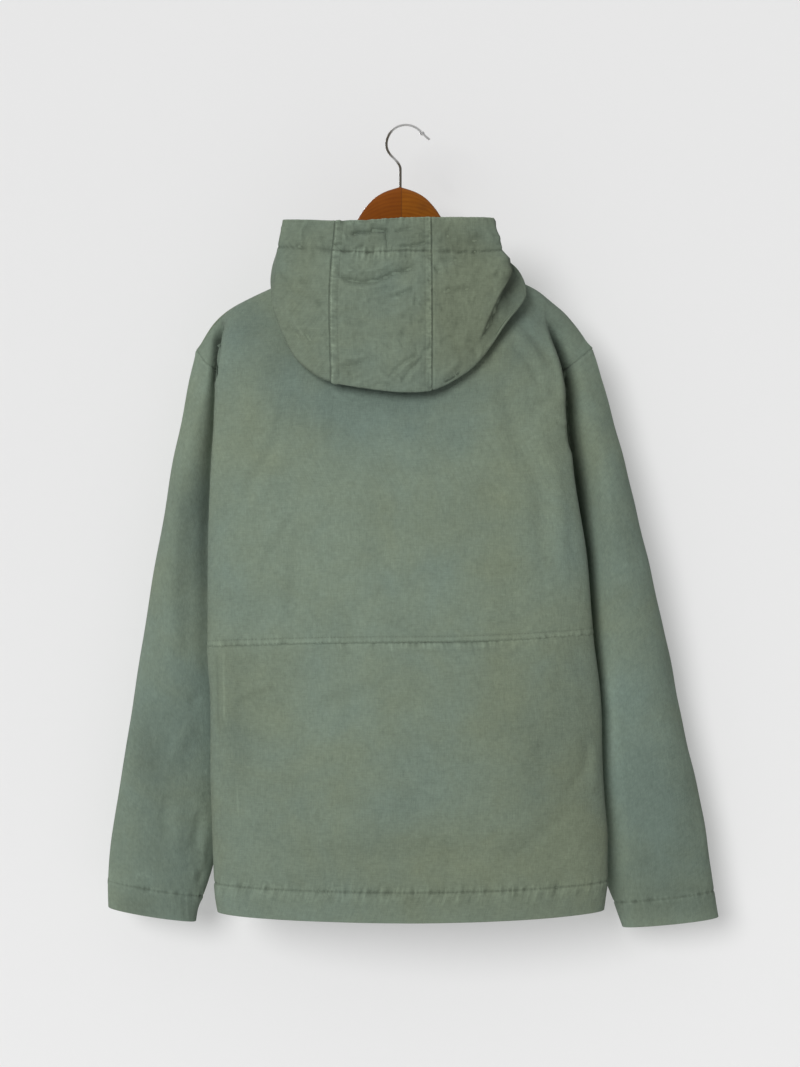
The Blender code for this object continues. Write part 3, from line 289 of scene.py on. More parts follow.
def ridge(side, offset):
    """A point of the shoulder line at this distance from the middle."""
    t = (offset - NECK_OFFSET) / (TIP_OFFSET[side] - NECK_OFFSET)
    y = NECK_POINT_Y + (TIP[side][1] - NECK_POINT_Y) * max(t, 0.0) ** 1.3
    z = shoulder_z[side](offset)
    z += (NECK_POINT_Z - shoulder_z[side](NECK_OFFSET)) * (1 - smooth(t * 4))
    z += (TIP[side][2] - shoulder_z[side](TIP_OFFSET[side])) * smooth((t - 0.7) / 0.3)
    return np.array([X0 + SIGN[side] * offset, y, z])


def ridge_round(offset, c):
    """Radius with which the cloth turns over the shoulder line."""
    return 9.5 * smooth((c - 0.62) / 0.38) + 2.5 * smooth((offset - NECK_OFFSET) / 30)


def top_point(side, face, c):
    """Top row of a panel: c 0 at the centre, 1 neck point, 2 fold edge, 3 tip."""
    if c <= 1:
        start = math.pi / 2 if face == "back" else PSI_FRONT
        return neck_ring(start + (NECK_POINT - start) * c, SIGN[side])
    if c <= 2:
        return ridge(side, NECK_OFFSET + (FOLD_TOP[side] - NECK_OFFSET) * (c - 1))
    return ridge(side, FOLD_TOP[side] + (TIP_OFFSET[side] - FOLD_TOP[side]) * (c - 2))


def level(v, where):
    """Height of the row v (0 hem, 1 waist seam, 2 underarm) at the centre, fold or side."""
    i = LEVELS["columns"].index(where)
    z = [row[i] for row in LEVELS["rows"]]
    return z[0] + (z[1] - z[0]) * v if v <= 1 else z[1] + (z[2] - z[1]) * (v - 1)


def rise(v):
    """How far up the armhole part a row v from 2 to 3 lies."""
    return 1 - (1 - (v - 2)) ** 1.6


def swing(c, neck_share):
    """Angle around the quarter from the centre (0) to the edge (90 degrees)."""
    if c <= 1:
        return neck_share * c * math.pi / 2
    return (neck_share + (1 - neck_share) * (c - 1)) * math.pi / 2


def back_panel_point(side, v, c):
    """Back between the centre (c 0) and the fold edge (c 2)."""
    s = SIGN[side]
    theta = swing(c, 0.36)
    if v <= 2:
        z = level(v, "centre") + (level(v, "fold_" + side) - level(v, "centre")) * math.sin(theta) ** 2
        x = centre_x(z) + (fold_x[side](z) - centre_x(z)) * math.sin(theta)
        y = fold_y(z) + (back_y(z) - fold_y(z)) * math.cos(theta)
        return np.array([x, y, z])
    eta = rise(v)
    low = back_panel_point(side, 2.0, c)
    top = top_point(side, "back", c)
    z = low[2] + (top[2] - low[2]) * eta
    ratio_top = (top[0] - X0) / (top_point(side, "back", 2)[0] - X0)
    ratio = math.sin(theta) + (ratio_top - math.sin(theta)) * eta
    z_fold = level(2, "fold_" + side) + (top_point(side, "back", 2)[2] - level(2, "fold_" + side)) * eta
    x = centre_x(z) + (fold_x[side](z_fold) - centre_x(z)) * ratio
    t = top[2] - z
    offset = abs(top[0] - X0)
    r = ridge_round(offset, c)
    reach = 150 - 70 * smooth(offset / 190)
    full = fold_y(z) + (back_y(z) - fold_y(z)) * math.sqrt(max(1 - ratio ** 2, 0))
    turn = math.sqrt(max(1 - (1 - min(max(t / r, 0), 1)) ** 2, 0)) if r > 0.01 else 1.0
    y = top[1] + r * turn + (full - top[1] - r) * smooth(t / reach)
    return np.array([x, y, z])


def back_armhole(side, v):
    z = -455 + (TIP[side][2] + 455) * rise(v)
    x, y = armhole_back[side](z)
    return np.array([x, y, z])


def side_seam(side, v):
    z = level(v, "side_" + side)
    return np.array([side_x[side](z), side_y(z), z])


def back_point(side, v, c):
    """The whole back with the wall tucked in behind the fold edge (c 2 to 3)."""
    if c <= 2:
        return back_panel_point(side, v, c)
    s, u = SIGN[side], c - 2
    F = back_panel_point(side, v, 2)
    A = side_seam(side, v) if v <= 2 else back_armhole(side, v)
    deep = F[1] - A[1]
    P1 = F + np.array([-s * 14 * smooth((deep - 12) / 38), -0.25 * deep, 0])
    P2 = A + np.array([s * 1.0, 0.4 * deep, 0])
    wall = ((1 - u) ** 3 * F + 3 * (1 - u) ** 2 * u * P1 + 3 * (1 - u) * u ** 2 * P2 + u ** 3 * A)
    k = smooth((v - 2.55) / 0.45)
    if k <= 0:
        return wall
    R = top_point(side, "back", c)
    over = R + (1 - u) * (F - top_point(side, "back", 2)) + u * (A - top_point(side, "back", 3))
    return (1 - k) * wall + k * over


def front_armhole(side, v):
    eta = rise(v)
    return np.array([armhole_front_x[side](eta), armhole_front_y(eta),
                     -455 + (TIP[side][2] + 455) * eta])


def front_point(side, v, c):
    """Front from its zip edge (c 0) to the side seam or armhole (c 3)."""
    s, n = SIGN[side], 2.6
    share = c / 3
    theta = share * math.pi / 2
    A = side_seam(side, v) if v <= 2 else front_armhole(side, v)
    low_ratio = math.sin(theta) ** (2 / n)
    if v <= 2:
        z = level(v, "centre") + (A[2] - level(v, "centre")) * math.sin(theta) ** 2
        edge = centre_x(z) + s * FRONT_EDGE
        x = edge + (A[0] - edge) * low_ratio
        y = A[1] + (front_y(z) - A[1]) * max(math.cos(theta), 0) ** (2 / n)
        return np.array([x, y, z])
    eta = rise(v)
    low = front_point(side, 2.0, c)
    top = top_point(side, "front", c)
    top_edge, top_tip = top_point(side, "front", 0), top_point(side, "front", 3)
    z = low[2] + (top[2] - low[2]) * eta
    top_ratio = (top[0] - top_edge[0]) / (top_tip[0] - top_edge[0])
    ratio = min(low_ratio + (top_ratio - low_ratio) * eta, 1.0)
    edge = centre_x(z) + s * FRONT_EDGE
    edge += (top_edge[0] - (X0 + s * FRONT_EDGE)) * eta
    x = edge + (A[0] - edge) * ratio
    t = top[2] - z
    offset = abs(top[0] - X0)
    r = ridge_round(offset, c)
    reach = 130 - 30 * smooth(offset / 190)
    full = A[1] + (front_y(z) - A[1]) * max(1 - ratio ** n, 0) ** (1 / n)
    turn = math.sqrt(max(1 - (1 - min(max(t / r, 0), 1)) ** 2, 0)) if r > 0.01 else 1.0
    y = top[1] - r * turn + (full - top[1] + r) * smooth(t / reach)
    P = np.array([x, y, z])
    if c < 3:
        last = front_point(side, v, 3.0001)
        return P + (A - last) * ratio ** 5
    return P if c > 3 else A


def rows_of_body():
    v = [i / ROWS_SKIRT for i in range(ROWS_SKIRT)]
    v += [1 + i / ROWS_WAIST for i in range(ROWS_WAIST)]
    v += [2 + i / ROWS_ARMHOLE for i in range(ROWS_ARMHOLE + 1)]
    return v


def columns_of_body():
    c = [i / COLS_NECK for i in range(COLS_NECK)]
    c += [1 + i / COLS_PANEL for i in range(COLS_PANEL)]
    c += [2 + i / COLS_TUCK for i in range(COLS_TUCK + 1)]
    return c
V, C = rows_of_body(), columns_of_body()
ROW_WAIST, ROW_UNDERARM = ROWS_SKIRT, ROWS_SKIRT + ROWS_WAIST

panels = {}
for side in SIGN:
    panels["back", side] = np.array([[back_point(side, v, c) for c in C] for v in V])
    panels["front", side] = np.array([[front_point(side, v, c) for c in C] for v in V])
    # the shoulder line and the side seam are the same points on both panels
    panels["front", side][:ROW_UNDERARM + 1, -1] = panels["back", side][:ROW_UNDERARM + 1, -1]
    panels["front", side][-1, COLS_NECK:] = panels["back", side][-1, COLS_NECK:]


# ---- sleeves -------------------------------------------------------------------
def sleeve_grid(side):
    """Rings from the armhole to the cuff, each from the outer edge round by the back."""
    outer_pts = SLEEVE_OUTER_LEFT if side == "left" else SLEEVE_OUTER_RIGHT
    inner_pts = SLEEVE_INNER_LEFT if side == "left" else SLEEVE_INNER_RIGHT
    outer, outer_len = path_by_length(outer_pts)
    inner, inner_len = path_by_length(inner_pts)
    depth = curve_of(SLEEVE_DEPTH, "along", "half_depth")
    middle = curve_of(SLEEVE_DEPTH, "along", "y")
    back_col = panels["back", side][ROW_UNDERARM:, -1][::-1]       # tip down to underarm
    front_col = panels["front", side][ROW_UNDERARM:, -1][1:-1]     # up again
    loop = np.concatenate([back_col, front_col])
    count = len(loop)
    half = len(back_col) - 1
    phi = [math.pi * j / half for j in range(count)]

    def axes(o, i):
        O = np.array([o[0], 0, o[1]])
        I = np.array([i[0], 0, i[1]])
        e = unit(O - I)
        return O, I, np.array([-e[2], 0, e[0]])

    O0, I0, n0 = axes((loop[0][0], loop[0][2]), (loop[half][0], loop[half][2]))
    span0 = np.linalg.norm(O0 - I0)
    e0 = unit(O0 - I0)
    along0 = [float(np.dot(p - I0, e0)) / span0 for p in loop]
    off0 = [float(np.dot(p - I0, n0)) for p in loop]
    rings = [loop]
    total = SLEEVE_ROWS_CAP + SLEEVE_ROWS_ARM
    for k in range(1, total + 1):
        if k <= SLEEVE_ROWS_CAP:
            f = k / SLEEVE_ROWS_CAP
            so, si = CAP_OUTER * f, CAP_INNER * f
        else:
            f = (k - SLEEVE_ROWS_CAP) / SLEEVE_ROWS_ARM
            so = CAP_OUTER + (outer_len - CAP_OUTER) * f
            si = CAP_INNER + (inner_len - CAP_INNER) * f
        O, I, n = axes(outer(so), inner(si))
        along = so / outer_len
        w = smooth((f * 5 if k <= SLEEVE_ROWS_CAP else 5 + f * 8) / 6.0)
        ring = []
        for j in range(count):
            a = (1 - w) * along0[j] + w * (1 + math.cos(phi[j])) / 2
            y = (1 - w) * loop[j][1] + w * (middle(along) + depth(along) * math.sin(phi[j]))
            off = (1 - w) ** 2 * off0[j]
            p = I + a * (O - I) + off * n
            ring.append([p[0], y, p[2]])
        rings.append(np.array(ring))
    return np.array(rings)


for side in SIGN:
    panels["sleeve", side] = sleeve_grid(side)

# ---- shared normals over the sewn shell ------------------------------------------
def grid_faces_normal(P, flag, wrap):
    """Face normals of a grid, times flag, summed on its points."""
    out = np.zeros_like(P)
    nr, nc = P.shape[:2]
    for i in range(nr - 1):
        for j in range(nc if wrap else nc - 1):
            k = (j + 1) % nc
            a, b, c, d = P[i, j], P[i + 1, j], P[i + 1, k], P[i, k]
            n = np.cross(c - a, d - b) * flag
            for q in ((i, j), (i + 1, j), (i + 1, k), (i, k)):
                out[q] += n
    return out


def shared_normals(grids):
    """grids: name -> (points, flag, wrap). Points that coincide share one normal,
    and where a sleeve meets the body it points half way between the two."""
    total = {}
    for name, (P, flag, wrap) in grids.items():
        S = grid_faces_normal(P, flag, wrap)
        for i in range(P.shape[0]):
            for j in range(P.shape[1]):
                pair = total.setdefault(tuple(np.round(P[i, j], 3)), [np.zeros(3), np.zeros(3)])
                pair[1 if wrap else 0] += S[i, j]
    out = {}
    for name, (P, flag, wrap) in grids.items():
        N = np.zeros_like(P)
        for i in range(P.shape[0]):
            for j in range(P.shape[1]):
                body, sleeve = (unit(v) for v in total[tuple(np.round(P[i, j], 3))])
                both = body + sleeve
                own = sleeve if wrap else body
                # in the tight groove under the arm each piece leans to its own side
                N[i, j] = unit(both + own * 1.5 * max(0.0, 1.0 - np.linalg.norm(both)))
        out[name] = N
    return out


def cross_flag(kind, side):
    # rows go up on the body and columns outward; sleeve rows go down, columns round by the back
    return {"back": 1, "front": -1, "sleeve": 1}[kind] * (1 if side == "left" else -1)


# the cross product of the two diagonals has the sign of (row step) x (column step)
grids = {key: (P, cross_flag(*key), key[0] == "sleeve") for key, P in panels.items()}
normals = shared_normals(grids)

# ---- hood guide lines
hood_guides = {k: Curve(column(HOOD, "u"), [np.array(row[HOOD["columns"].index(k)], float)
                                           for row in HOOD["rows"]]) for k in "EMBR"}
NECK_LIFT, NECK_OUT = 2.6, 1.2     # the hood's seam edge lies over the body's


def hood_neck(u):
    side, w = (1.0, u) if u <= 0.5 else (-1.0, 1 - u)
    if w <= 0.26:
        psi = PSI_FRONT + (NECK_POINT - PSI_FRONT) * w / 0.26
    else:
        psi = NECK_POINT + (math.pi / 2 - NECK_POINT) * (w - 0.26) / 0.24
    out = NECK_OUT * smooth(math.sin(psi) / 0.5)
    return neck_ring(psi, side) + np.array([side * out * math.cos(psi), out * math.sin(psi), NECK_LIFT])



# ---- finer grids -------------------------------------------------------------------
def cubic_weights(places, count, wrap=False):
    """Weights that read a smooth curve through count points at these index places."""
    W = np.zeros((len(places), count))
    for r, t in enumerate(places):
        i = min(int(t), count - 1 if wrap else count - 2)
        u = t - i
        w = (-0.5 * u + u * u - 0.5 * u ** 3, 1 - 2.5 * u * u + 1.5 * u ** 3,
             0.5 * u + 2 * u * u - 1.5 * u ** 3, -0.5 * u * u + 0.5 * u ** 3)
        for k, weight in zip((i - 1, i, i + 1, i + 2), w):
            if wrap:
                W[r, k % count] += weight
            elif k < 0:
                W[r, 0] += 2 * weight
                W[r, 1] -= weight
            elif k > count - 1:
                W[r, count - 1] += 2 * weight
                W[r, count - 2] -= weight
            else:
                W[r, k] += weight
    return W


def refine(P, rows, cols, wrap=False):
    A = cubic_weights(rows, P.shape[0])
    B = cubic_weights(cols, P.shape[1], wrap)
    return np.einsum("ri,ijk,cj->rck", A, P, B)


def lengths(P, axis, wrap=False):
    """Mean distance along a grid from its first row (axis 0) or column (axis 1)."""
    if wrap and axis == 1:
        P = np.concatenate([P, P[:, :1]], axis=1)
    step = np.linalg.norm(np.diff(P, axis=axis), axis=2).mean(axis=1 - axis)
    return np.concatenate([[0], np.cumsum(step)])


def places(dist, spacing, fine=(), multiple=3, wrap=False):
    """Index places with this spacing in mm, closer together near the fine stretches.
    fine holds (place in mm, reach, spacing)."""
    s = np.linspace(0, dist[-1], 4000)
    dens = np.full_like(s, 1.0 / spacing)
    for at, reach, step in fine:
        w = smooth((reach + 6 - np.abs(s - at)) / 6)
        dens = dens + w * np.maximum(1.0 / step - dens, 0)
    total = np.concatenate([[0], np.cumsum((dens[1:] + dens[:-1]) / 2 * np.diff(s))])
    n = max(int(math.ceil(total[-1] / multiple)), 1) * multiple
    want = np.linspace(0, total[-1], n + 1)
    at = np.interp(np.interp(want, total, s), dist, np.arange(len(dist)))
    return at[:-1] if wrap else at


def along_cols(P):
    """Distance of every point from the first column, along its row."""
    d = np.linalg.norm(np.diff(P, axis=1), axis=2)
    return np.concatenate([np.zeros((P.shape[0], 1)), np.cumsum(d, axis=1)], axis=1)


def along_rows(P):
    d = np.linalg.norm(np.diff(P, axis=0), axis=2)
    return np.concatenate([np.zeros((1, P.shape[1])), np.cumsum(d, axis=0)], axis=0)


# ---- creases -----------------------------------------------------------------------
def drawing(P):
    """Across and down on the drawing plane that faces the garment's back."""
    f = (2700 - P[..., 1]) / 2700
    return 400 - (P[..., 0] - 7.2) / (1.2 * f), 533.5 - (P[..., 2] + 488.8) / (1.2 * f)


def front_drawing(P):
    """Across (wearer's right to left) and down, as seen from the front, in mm."""
    return P[..., 0], -P[..., 2]


def soft_path(path, steps=6):
    if len(path) < 3:
        return np.asarray(path, float)
    curve, total = path_by_length(path)
    return np.array([curve(s) for s in np.linspace(0, total, (len(path) - 1) * steps + 1)])


def nearest(x, y, path):
    """Distance from a path, its sign (positive to the right going along) and the length along."""
    pts = np.asarray(path, float)
    best = np.full(x.shape, 1e9)
    side = np.ones(x.shape)
    along = np.zeros(x.shape)
    done = 0.0
    for a, b in zip(pts[:-1], pts[1:]):
        d = b - a
        L = math.hypot(*d)
        if L < 1e-6:
            continue
        t = np.clip(((x - a[0]) * d[0] + (y - a[1]) * d[1]) / L ** 2, 0, 1)
        dx, dy = x - a[0] - t * d[0], y - a[1] - t * d[1]
        dist = np.hypot(dx, dy)
        closer = dist < best
        best = np.where(closer, dist, best)
        side = np.where(closer, np.sign(d[0] * dy - d[1] * dx), side)
        along = np.where(closer, done + t * L, along)
        done += L
    return best, side, along, done


def strokes(rows, x, y, crisp=False):
    """Sum of soft troughs (negative height) and ridges.
    Each row is a path, its half width, its height in mm and how sharp its ends are.
    Crisp ones come to a narrow line along the middle."""
    out = np.zeros(x.shape)
    for path, width, height, ends in rows:
        pts = soft_path(path)
        near = ((x > pts[:, 0].min() - 3.5 * width) & (x < pts[:, 0].max() + 3.5 * width)
                & (y > pts[:, 1].min() - 3.5 * width) & (y < pts[:, 1].max() + 3.5 * width))
        if not near.any():
            continue
        t, _, s, total = nearest(x[near], y[near], pts)
        edge = max(total * ends, 1e-3)
        fade = smooth(s / edge) * smooth((total - s) / edge) if ends > 0 else 1.0
        if crisp:
            form = np.exp(0.25 - np.sqrt(0.0625 + 2.6 * (t / width) ** 2))
        else:
            form = np.exp(-(t / width) ** 2)
        out[near] += height * fade * form
    return out


def crumple(x, y, box, count, seed, width, length, height, lean=None):
    """Many small uneven creases scattered over a box of the drawing."""
    rng = np.random.RandomState(seed)
    rows = []
    for _ in range(count):
        px, py = rng.uniform(box[0], box[2]), rng.uniform(box[1], box[3])
        angle = rng.uniform(0, math.pi) if lean is None else rng.normal(lean, 0.45)
        L, bow = length * rng.uniform(0.5, 1.5), rng.uniform(-0.22, 0.22)
        dx, dy = math.cos(angle) * L / 2, math.sin(angle) * L / 2
        rows.append((((px - dx, py - dy), (px - dy * bow, py + dx * bow), (px + dx, py + dy)),
                     width * rng.uniform(0.6, 1.5), height * rng.uniform(0.3, 1.0) * rng.choice((-1, 1)), 0.35))
    return strokes(rows, x, y)


def groove(table, side, x, y):
    """How far the cloth falls back beside a folded edge: deepest at the edge, fading away
    from it over the reach on the sleeve's side and over 9 on the body's side."""
    tab = np.array(table, float)
    pts, deep, reach = tab[:, :2], tab[:, 2], tab[:, 3]
    t, _, s, total = nearest(x, y, pts)
    at = np.concatenate([[0], np.cumsum(np.linalg.norm(np.diff(pts, axis=0), axis=1))])
    edge_x = np.interp(y, pts[:, 1], pts[:, 0])
    outside = (edge_x - x) * side > 0
    r = np.where(outside, np.interp(s, at, reach), 9.0)
    form = np.where(outside, np.exp(0.2 - np.sqrt(0.04 + (1.25 * t / r) ** 2)), np.exp(-(t / r) ** 2))
    return np.interp(s, at, deep) * form


def steps(rows, x, y):
    """Layered folds: going down the path, the side to its right on the drawing lies lower.
    Each row is a path, the height, how far the upper layer rises and the lower one sinks."""
    out = np.zeros(x.shape)
    for path, height, upper, lower, blur in rows:
        pts = soft_path(path)
        t, side, s, total = nearest(x, y, pts)
        fade = smooth(s / (0.12 * total)) * smooth((total - s) / (0.3 * total))
        t = -t * side
        rise_ = np.exp(-(np.minimum(t, 0) / upper) ** 2) * 0.5
        sink = -np.exp(-(np.maximum(t, 0) / lower) ** 4) * 0.5
        mix = smooth((t + blur) / (2 * blur))
        out += height * fade * ((1 - mix) * rise_ + mix * sink)
    return out


def patches(rows, x, y):
    """Sum of soft round patches. Each row is a place, its two reaches and its value."""
    out = np.zeros(x.shape)
    for px, py, rx, ry, value in rows:
        out += value * np.exp(-((x - px) / rx) ** 2 - ((y - py) / ry) ** 2)
    return out


def puckers(along, away, total, spacing, reach, height, seed, strength=None, lean=0.25, one_side=False):
    """Uneven little ridges square to a seam. along and away are mm from its start and from
    the seam; strength is a list of (share of the length, factor)."""
    rng = np.random.RandomState(seed)
    out = np.zeros(along.shape)
    s = 0.0
    while s < total:
        size = rng.uniform(0.35, 1.0)
        step = spacing * rng.uniform(0.55, 1.6)
        width = min(step, spacing * 1.2) * rng.uniform(0.26, 0.4)
        length = reach * rng.uniform(0.5, 1.25)
        slope = rng.uniform(-lean, lean)
        sign = 1.0 if rng.rand() < 0.72 else -0.8
        k = 1.0 if strength is None else float(np.interp(s / total, [a for a, _ in strength], [b for _, b in strength]))
        if k > 0.02:
            near = (np.abs(along - s) < 3.2 * width + abs(slope) * length * 2.6) & (np.abs(away) < 2.6 * length)
            if one_side:
                near &= away >= 0
            if near.any():
                a, w = along[near], away[near]
                out[near] += (sign * size * k * height * np.exp(-((a - s - slope * w) / width) ** 2)
                              * np.exp(-(w / length) ** 2))
        s += step
    return out


def waves(P, seed, longest, height, count=5):
    """Slow unevenness of hanging cloth: a few soft waves in uneven directions."""
    rng = np.random.RandomState(seed)
    out = np.zeros(P.shape[:-1])
    for k in range(count):
        direction = rng.normal(size=3) * np.array([1.0, 0.6, 0.55])
        direction /= np.linalg.norm(direction)
        wave = longest * rng.uniform(0.45, 1.0)
        out += np.sin(2 * math.pi * (P @ direction) / wave + rng.uniform(0, 6.3)) / count
    return out * height


# ---- shells ------------------------------------------------------------------------
def look_slots(mesh, material_):
    mesh.materials.clear()
    mesh.materials.append(material_)


def new_piece(name, points_mm, faces, mat, attributes=None, smooth_shade=True):
    mesh = bpy.data.meshes.new(name)
    mesh.from_pydata((np.asarray(points_mm, float) * MM).tolist(), [], faces)
    mesh.update()
    if smooth_shade:
        mesh.shade_smooth()
    for key, values in (attributes or {}).items():
        values = np.asarray(values, np.float32)
        if values.ndim == 1:
            att = mesh.attributes.new(key, "FLOAT", "POINT")
            att.data.foreach_set("value", values)
        else:
            att = mesh.attributes.new(key, "FLOAT_VECTOR", "POINT")
            att.data.foreach_set("vector", values.ravel())
    mesh.materials.append(mat)
    obj = bpy.data.objects.new(name, mesh)
    bpy.context.scene.collection.objects.link(obj)
    return obj


def cloth_shell(name, P, N, height, wear_and_shading, mat, wrap=False, thick=1.3, coarse=3, dye=None):
    """A thin closed shell: the outer face is the fine grid moved by height along N, the
    inner face follows it on every third point, and round rims close it."""
    nr, nc = P.shape[:2]
    outer = P + N * (thick / 2 + height)[..., None]
    deep = outer - N * thick
    ri = np.arange(0, nr, coarse)
    ci = np.arange(0, nc, coarse)
    inner = deep[np.ix_(ri, ci)]
    mr, mc = len(ri), len(ci)
    base = nr * nc
    pts = [outer.reshape(-1, 3), inner.reshape(-1, 3)]
    dye = np.zeros((nr, nc)) if dye is None else dye
    thread = np.stack([along_cols(P), along_rows(P), dye], axis=-1)
    threads = [thread.reshape(-1, 3), thread[np.ix_(ri, ci)].reshape(-1, 3)]
    wear_and_shading_parts = [wear_and_shading.reshape(-1), (wear_and_shading[np.ix_(ri, ci)] * 0.3).reshape(-1)]
    a = np.array([outer[1, 0] - outer[0, 0], outer[0, 1] - outer[0, 0]])
    mid_r, mid_c = nr // 2, nc // 2
    a = outer[mid_r + 1, mid_c] - outer[mid_r, mid_c]
    b = outer[mid_r, mid_c + 1] - outer[mid_r, mid_c]
    flip = np.dot(np.cross(a, b), N[mid_r, mid_c]) < 0
    I, J = np.meshgrid(np.arange(nr - 1), np.arange(nc if wrap else nc - 1), indexing="ij")
    o = lambda i, j: i * nc + j % nc
    quads = np.stack([o(I, J), o(I + 1, J), o(I + 1, J + 1), o(I, J + 1)], axis=-1).reshape(-1, 4)
    I, J = np.meshgrid(np.arange(mr - 1), np.arange(mc if wrap else mc - 1), indexing="ij")
    q = lambda i, j: base + i * mc + j % mc
    inner_quads = np.stack([q(I, J), q(I, J + 1), q(I + 1, J + 1), q(I + 1, J)], axis=-1).reshape(-1, 4)
    faces = quads.tolist() + inner_quads.tolist()
    count = base + mr * mc

    def rim(fine, rough, closed):
        """fine: list of (i, j) on the outer face; rough: the same border on the inner one."""
        nonlocal count
        out = np.array([outer[i, j] for i, j in fine])
        inn = np.array([deep[i, j] for i, j in fine])
        back = []
        for i, j in fine:
            ii = 1 if i == 0 else (nr - 2 if i == nr - 1 else i)
            jj = j if wrap else (1 if j == 0 else (nc - 2 if j == nc - 1 else j))
            back.append(outer[i, j] - outer[ii, jj])
        back = np.array(back)
        back /= np.maximum(np.linalg.norm(back, axis=1), 1e-6)[:, None]
        mid = (out + inn) / 2 + back * thick * 0.5
        pts.append(mid)
        threads.append(np.array([thread[i, j] for i, j in fine]))
        wear_and_shading_parts.append(np.array([wear_and_shading[i, j] + 0.15 for i, j in fine]))
        first = count
        count += len(fine)
        n, m = len(fine), len(rough)
        for k in range(n if closed else n - 1):
            k2 = (k + 1) % n
            faces.append((o(*fine[k]), o(*fine[k2]), first + k2, first + k))
        for k in range(m if closed else m - 1):
            k2 = (k + 1) % m
            i1, i2 = base + rough[k][0] * mc + rough[k][1], base + rough[k2][0] * mc + rough[k2][1]
            run = [first + (k * coarse + e) % n for e in range(coarse + 1)]
            half = coarse // 2 + 1
            for e in range(coarse):
                faces.append((run[e], run[e + 1], i1 if e < half else i2))
            faces.append((run[half], i2, i1))

    if wrap:
        rim([(0, j) for j in range(nc)], [(0, j) for j in range(mc)], True)
        rim([(nr - 1, j) for j in reversed(range(nc))], [(mr - 1, j) for j in reversed(range(mc))], True)
    else:
        def loop(r, c):
            return ([(0, j) for j in range(c - 1)] + [(i, c - 1) for i in range(r - 1)]
                    + [(r - 1, j) for j in range(c - 1, 0, -1)] + [(i, 0) for i in range(r - 1, 0, -1)])
        rim(loop(nr, nc), loop(mr, mc), True)
    pts = np.concatenate(pts)
    if flip:
        faces = [tuple(reversed(f)) for f in faces]
    obj = new_piece(name, pts, faces, mat, dict(thread=np.concatenate(threads), wear_and_shading=np.concatenate(wear_and_shading_parts)))
    return obj, outer


def surface_normals(outer, N, wrap=False):
    """Normals of the creased outer face, on the side of N."""
    gr = np.gradient(outer, axis=0)
    if wrap:
        gc = (np.roll(outer, -1, axis=1) - np.roll(outer, 1, axis=1)) / 2
    else:
        gc = np.gradient(outer, axis=1)
    n = np.cross(gr, gc)
    n /= np.maximum(np.linalg.norm(n, axis=2), 1e-9)[..., None]
    return n * np.sign((n * N).sum(axis=2))[..., None]


class Seams:
    """Collects stitches that lie on a piece and makes one object of them."""

    def __init__(self):
        self.points, self.faces = [], []

    def run(self, path, normals, length=2.7, gap=0.75, radius=0.3, sink=0.12, sides=4, skip=None):
        """Stitches along a path of points with the surface normal at each."""
        path, normals = np.asarray(path, float), np.asarray(normals, float)
        s = np.concatenate([[0], np.cumsum(np.linalg.norm(np.diff(path, axis=0), axis=1))])
        total = s[-1]
        n = max(int(total / (length + gap)), 1)
        pitch = total / n

        def at(v):
            p = np.array([np.interp(v, s, path[:, k]) for k in range(3)])
            q = unit([np.interp(v, s, normals[:, k]) for k in range(3)])
            return p, q

        for k in range(n):
            a, b = k * pitch + gap / 2, (k + 1) * pitch - gap / 2
            if skip and skip((a + b) / 2 / total):
                continue
            base = len(self.points)
            rings = ((a, -radius * 1.1, 0.35), (a * 0.8 + b * 0.2, -sink, 1.0),
                     (a * 0.2 + b * 0.8, -sink, 1.0), (b, -radius * 1.1, 0.35))
            p0, _ = at(a)
            p1, _ = at(b)
            t = unit(p1 - p0)
            for v, up, r in rings:
                p, nn = at(v)
                side = unit(np.cross(t, nn))
                for e in range(sides):
                    ang = 2 * math.pi * (e + 0.5) / sides
                    self.points.append(p + nn * (up + radius * r * math.sin(ang) * 0.8)
                                       + side * radius * r * math.cos(ang))
            for r in range(3):
                for e in range(sides):
                    e2 = (e + 1) % sides
                    self.faces.append((base + r * sides + e, base + r * sides + e2,
                                       base + (r + 1) * sides + e2, base + (r + 1) * sides + e))
            self.faces.append(tuple(base + e for e in reversed(range(sides))))
            self.faces.append(tuple(base + 3 * sides + e for e in range(sides)))

    def make(self, name, mat):
        mesh_obj = new_piece(name, self.points, self.faces, mat)
        bm = bmesh.new()
        bm.from_mesh(mesh_obj.data)
        bmesh.ops.recalc_face_normals(bm, faces=bm.faces[:])
        bm.to_mesh(mesh_obj.data)
        bm.free()
        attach(mesh_obj, "coat")
        return mesh_obj


def row_at(grid, dist, mm):
    """Points of a grid where dist (same shape, growing along axis 0) reaches mm, per column."""
    out = []
    mm = np.broadcast_to(mm, (grid.shape[1],))
    for j in range(grid.shape[1]):
        out.append([np.interp(mm[j], dist[:, j], grid[:, j, k]) for k in range(grid.shape[2])])
    return np.array(out)


def col_at(grid, dist, mm):
    out = []
    for i in range(grid.shape[0]):
        out.append([np.interp(mm, dist[i], grid[i, :, k]) for k in range(grid.shape[2])])
    return np.array(out)


# ---- finishes ----------------------------------------------------------------------
def start_material(name):
    m = bpy.data.materials.new(name)
    m.use_nodes = True
    nt = m.node_tree
    bsdf = nt.nodes["Principled BSDF"]
    return m, nt, bsdf


def node(nt, kind, **inputs):
    n = nt.nodes.new(kind)
    for key, value in inputs.items():
        if key in n.inputs:
            n.inputs[key].default_value = value
        else:
            setattr(n, key, value)
    return n


def link(nt, a, b):
    nt.links.new(a, b)


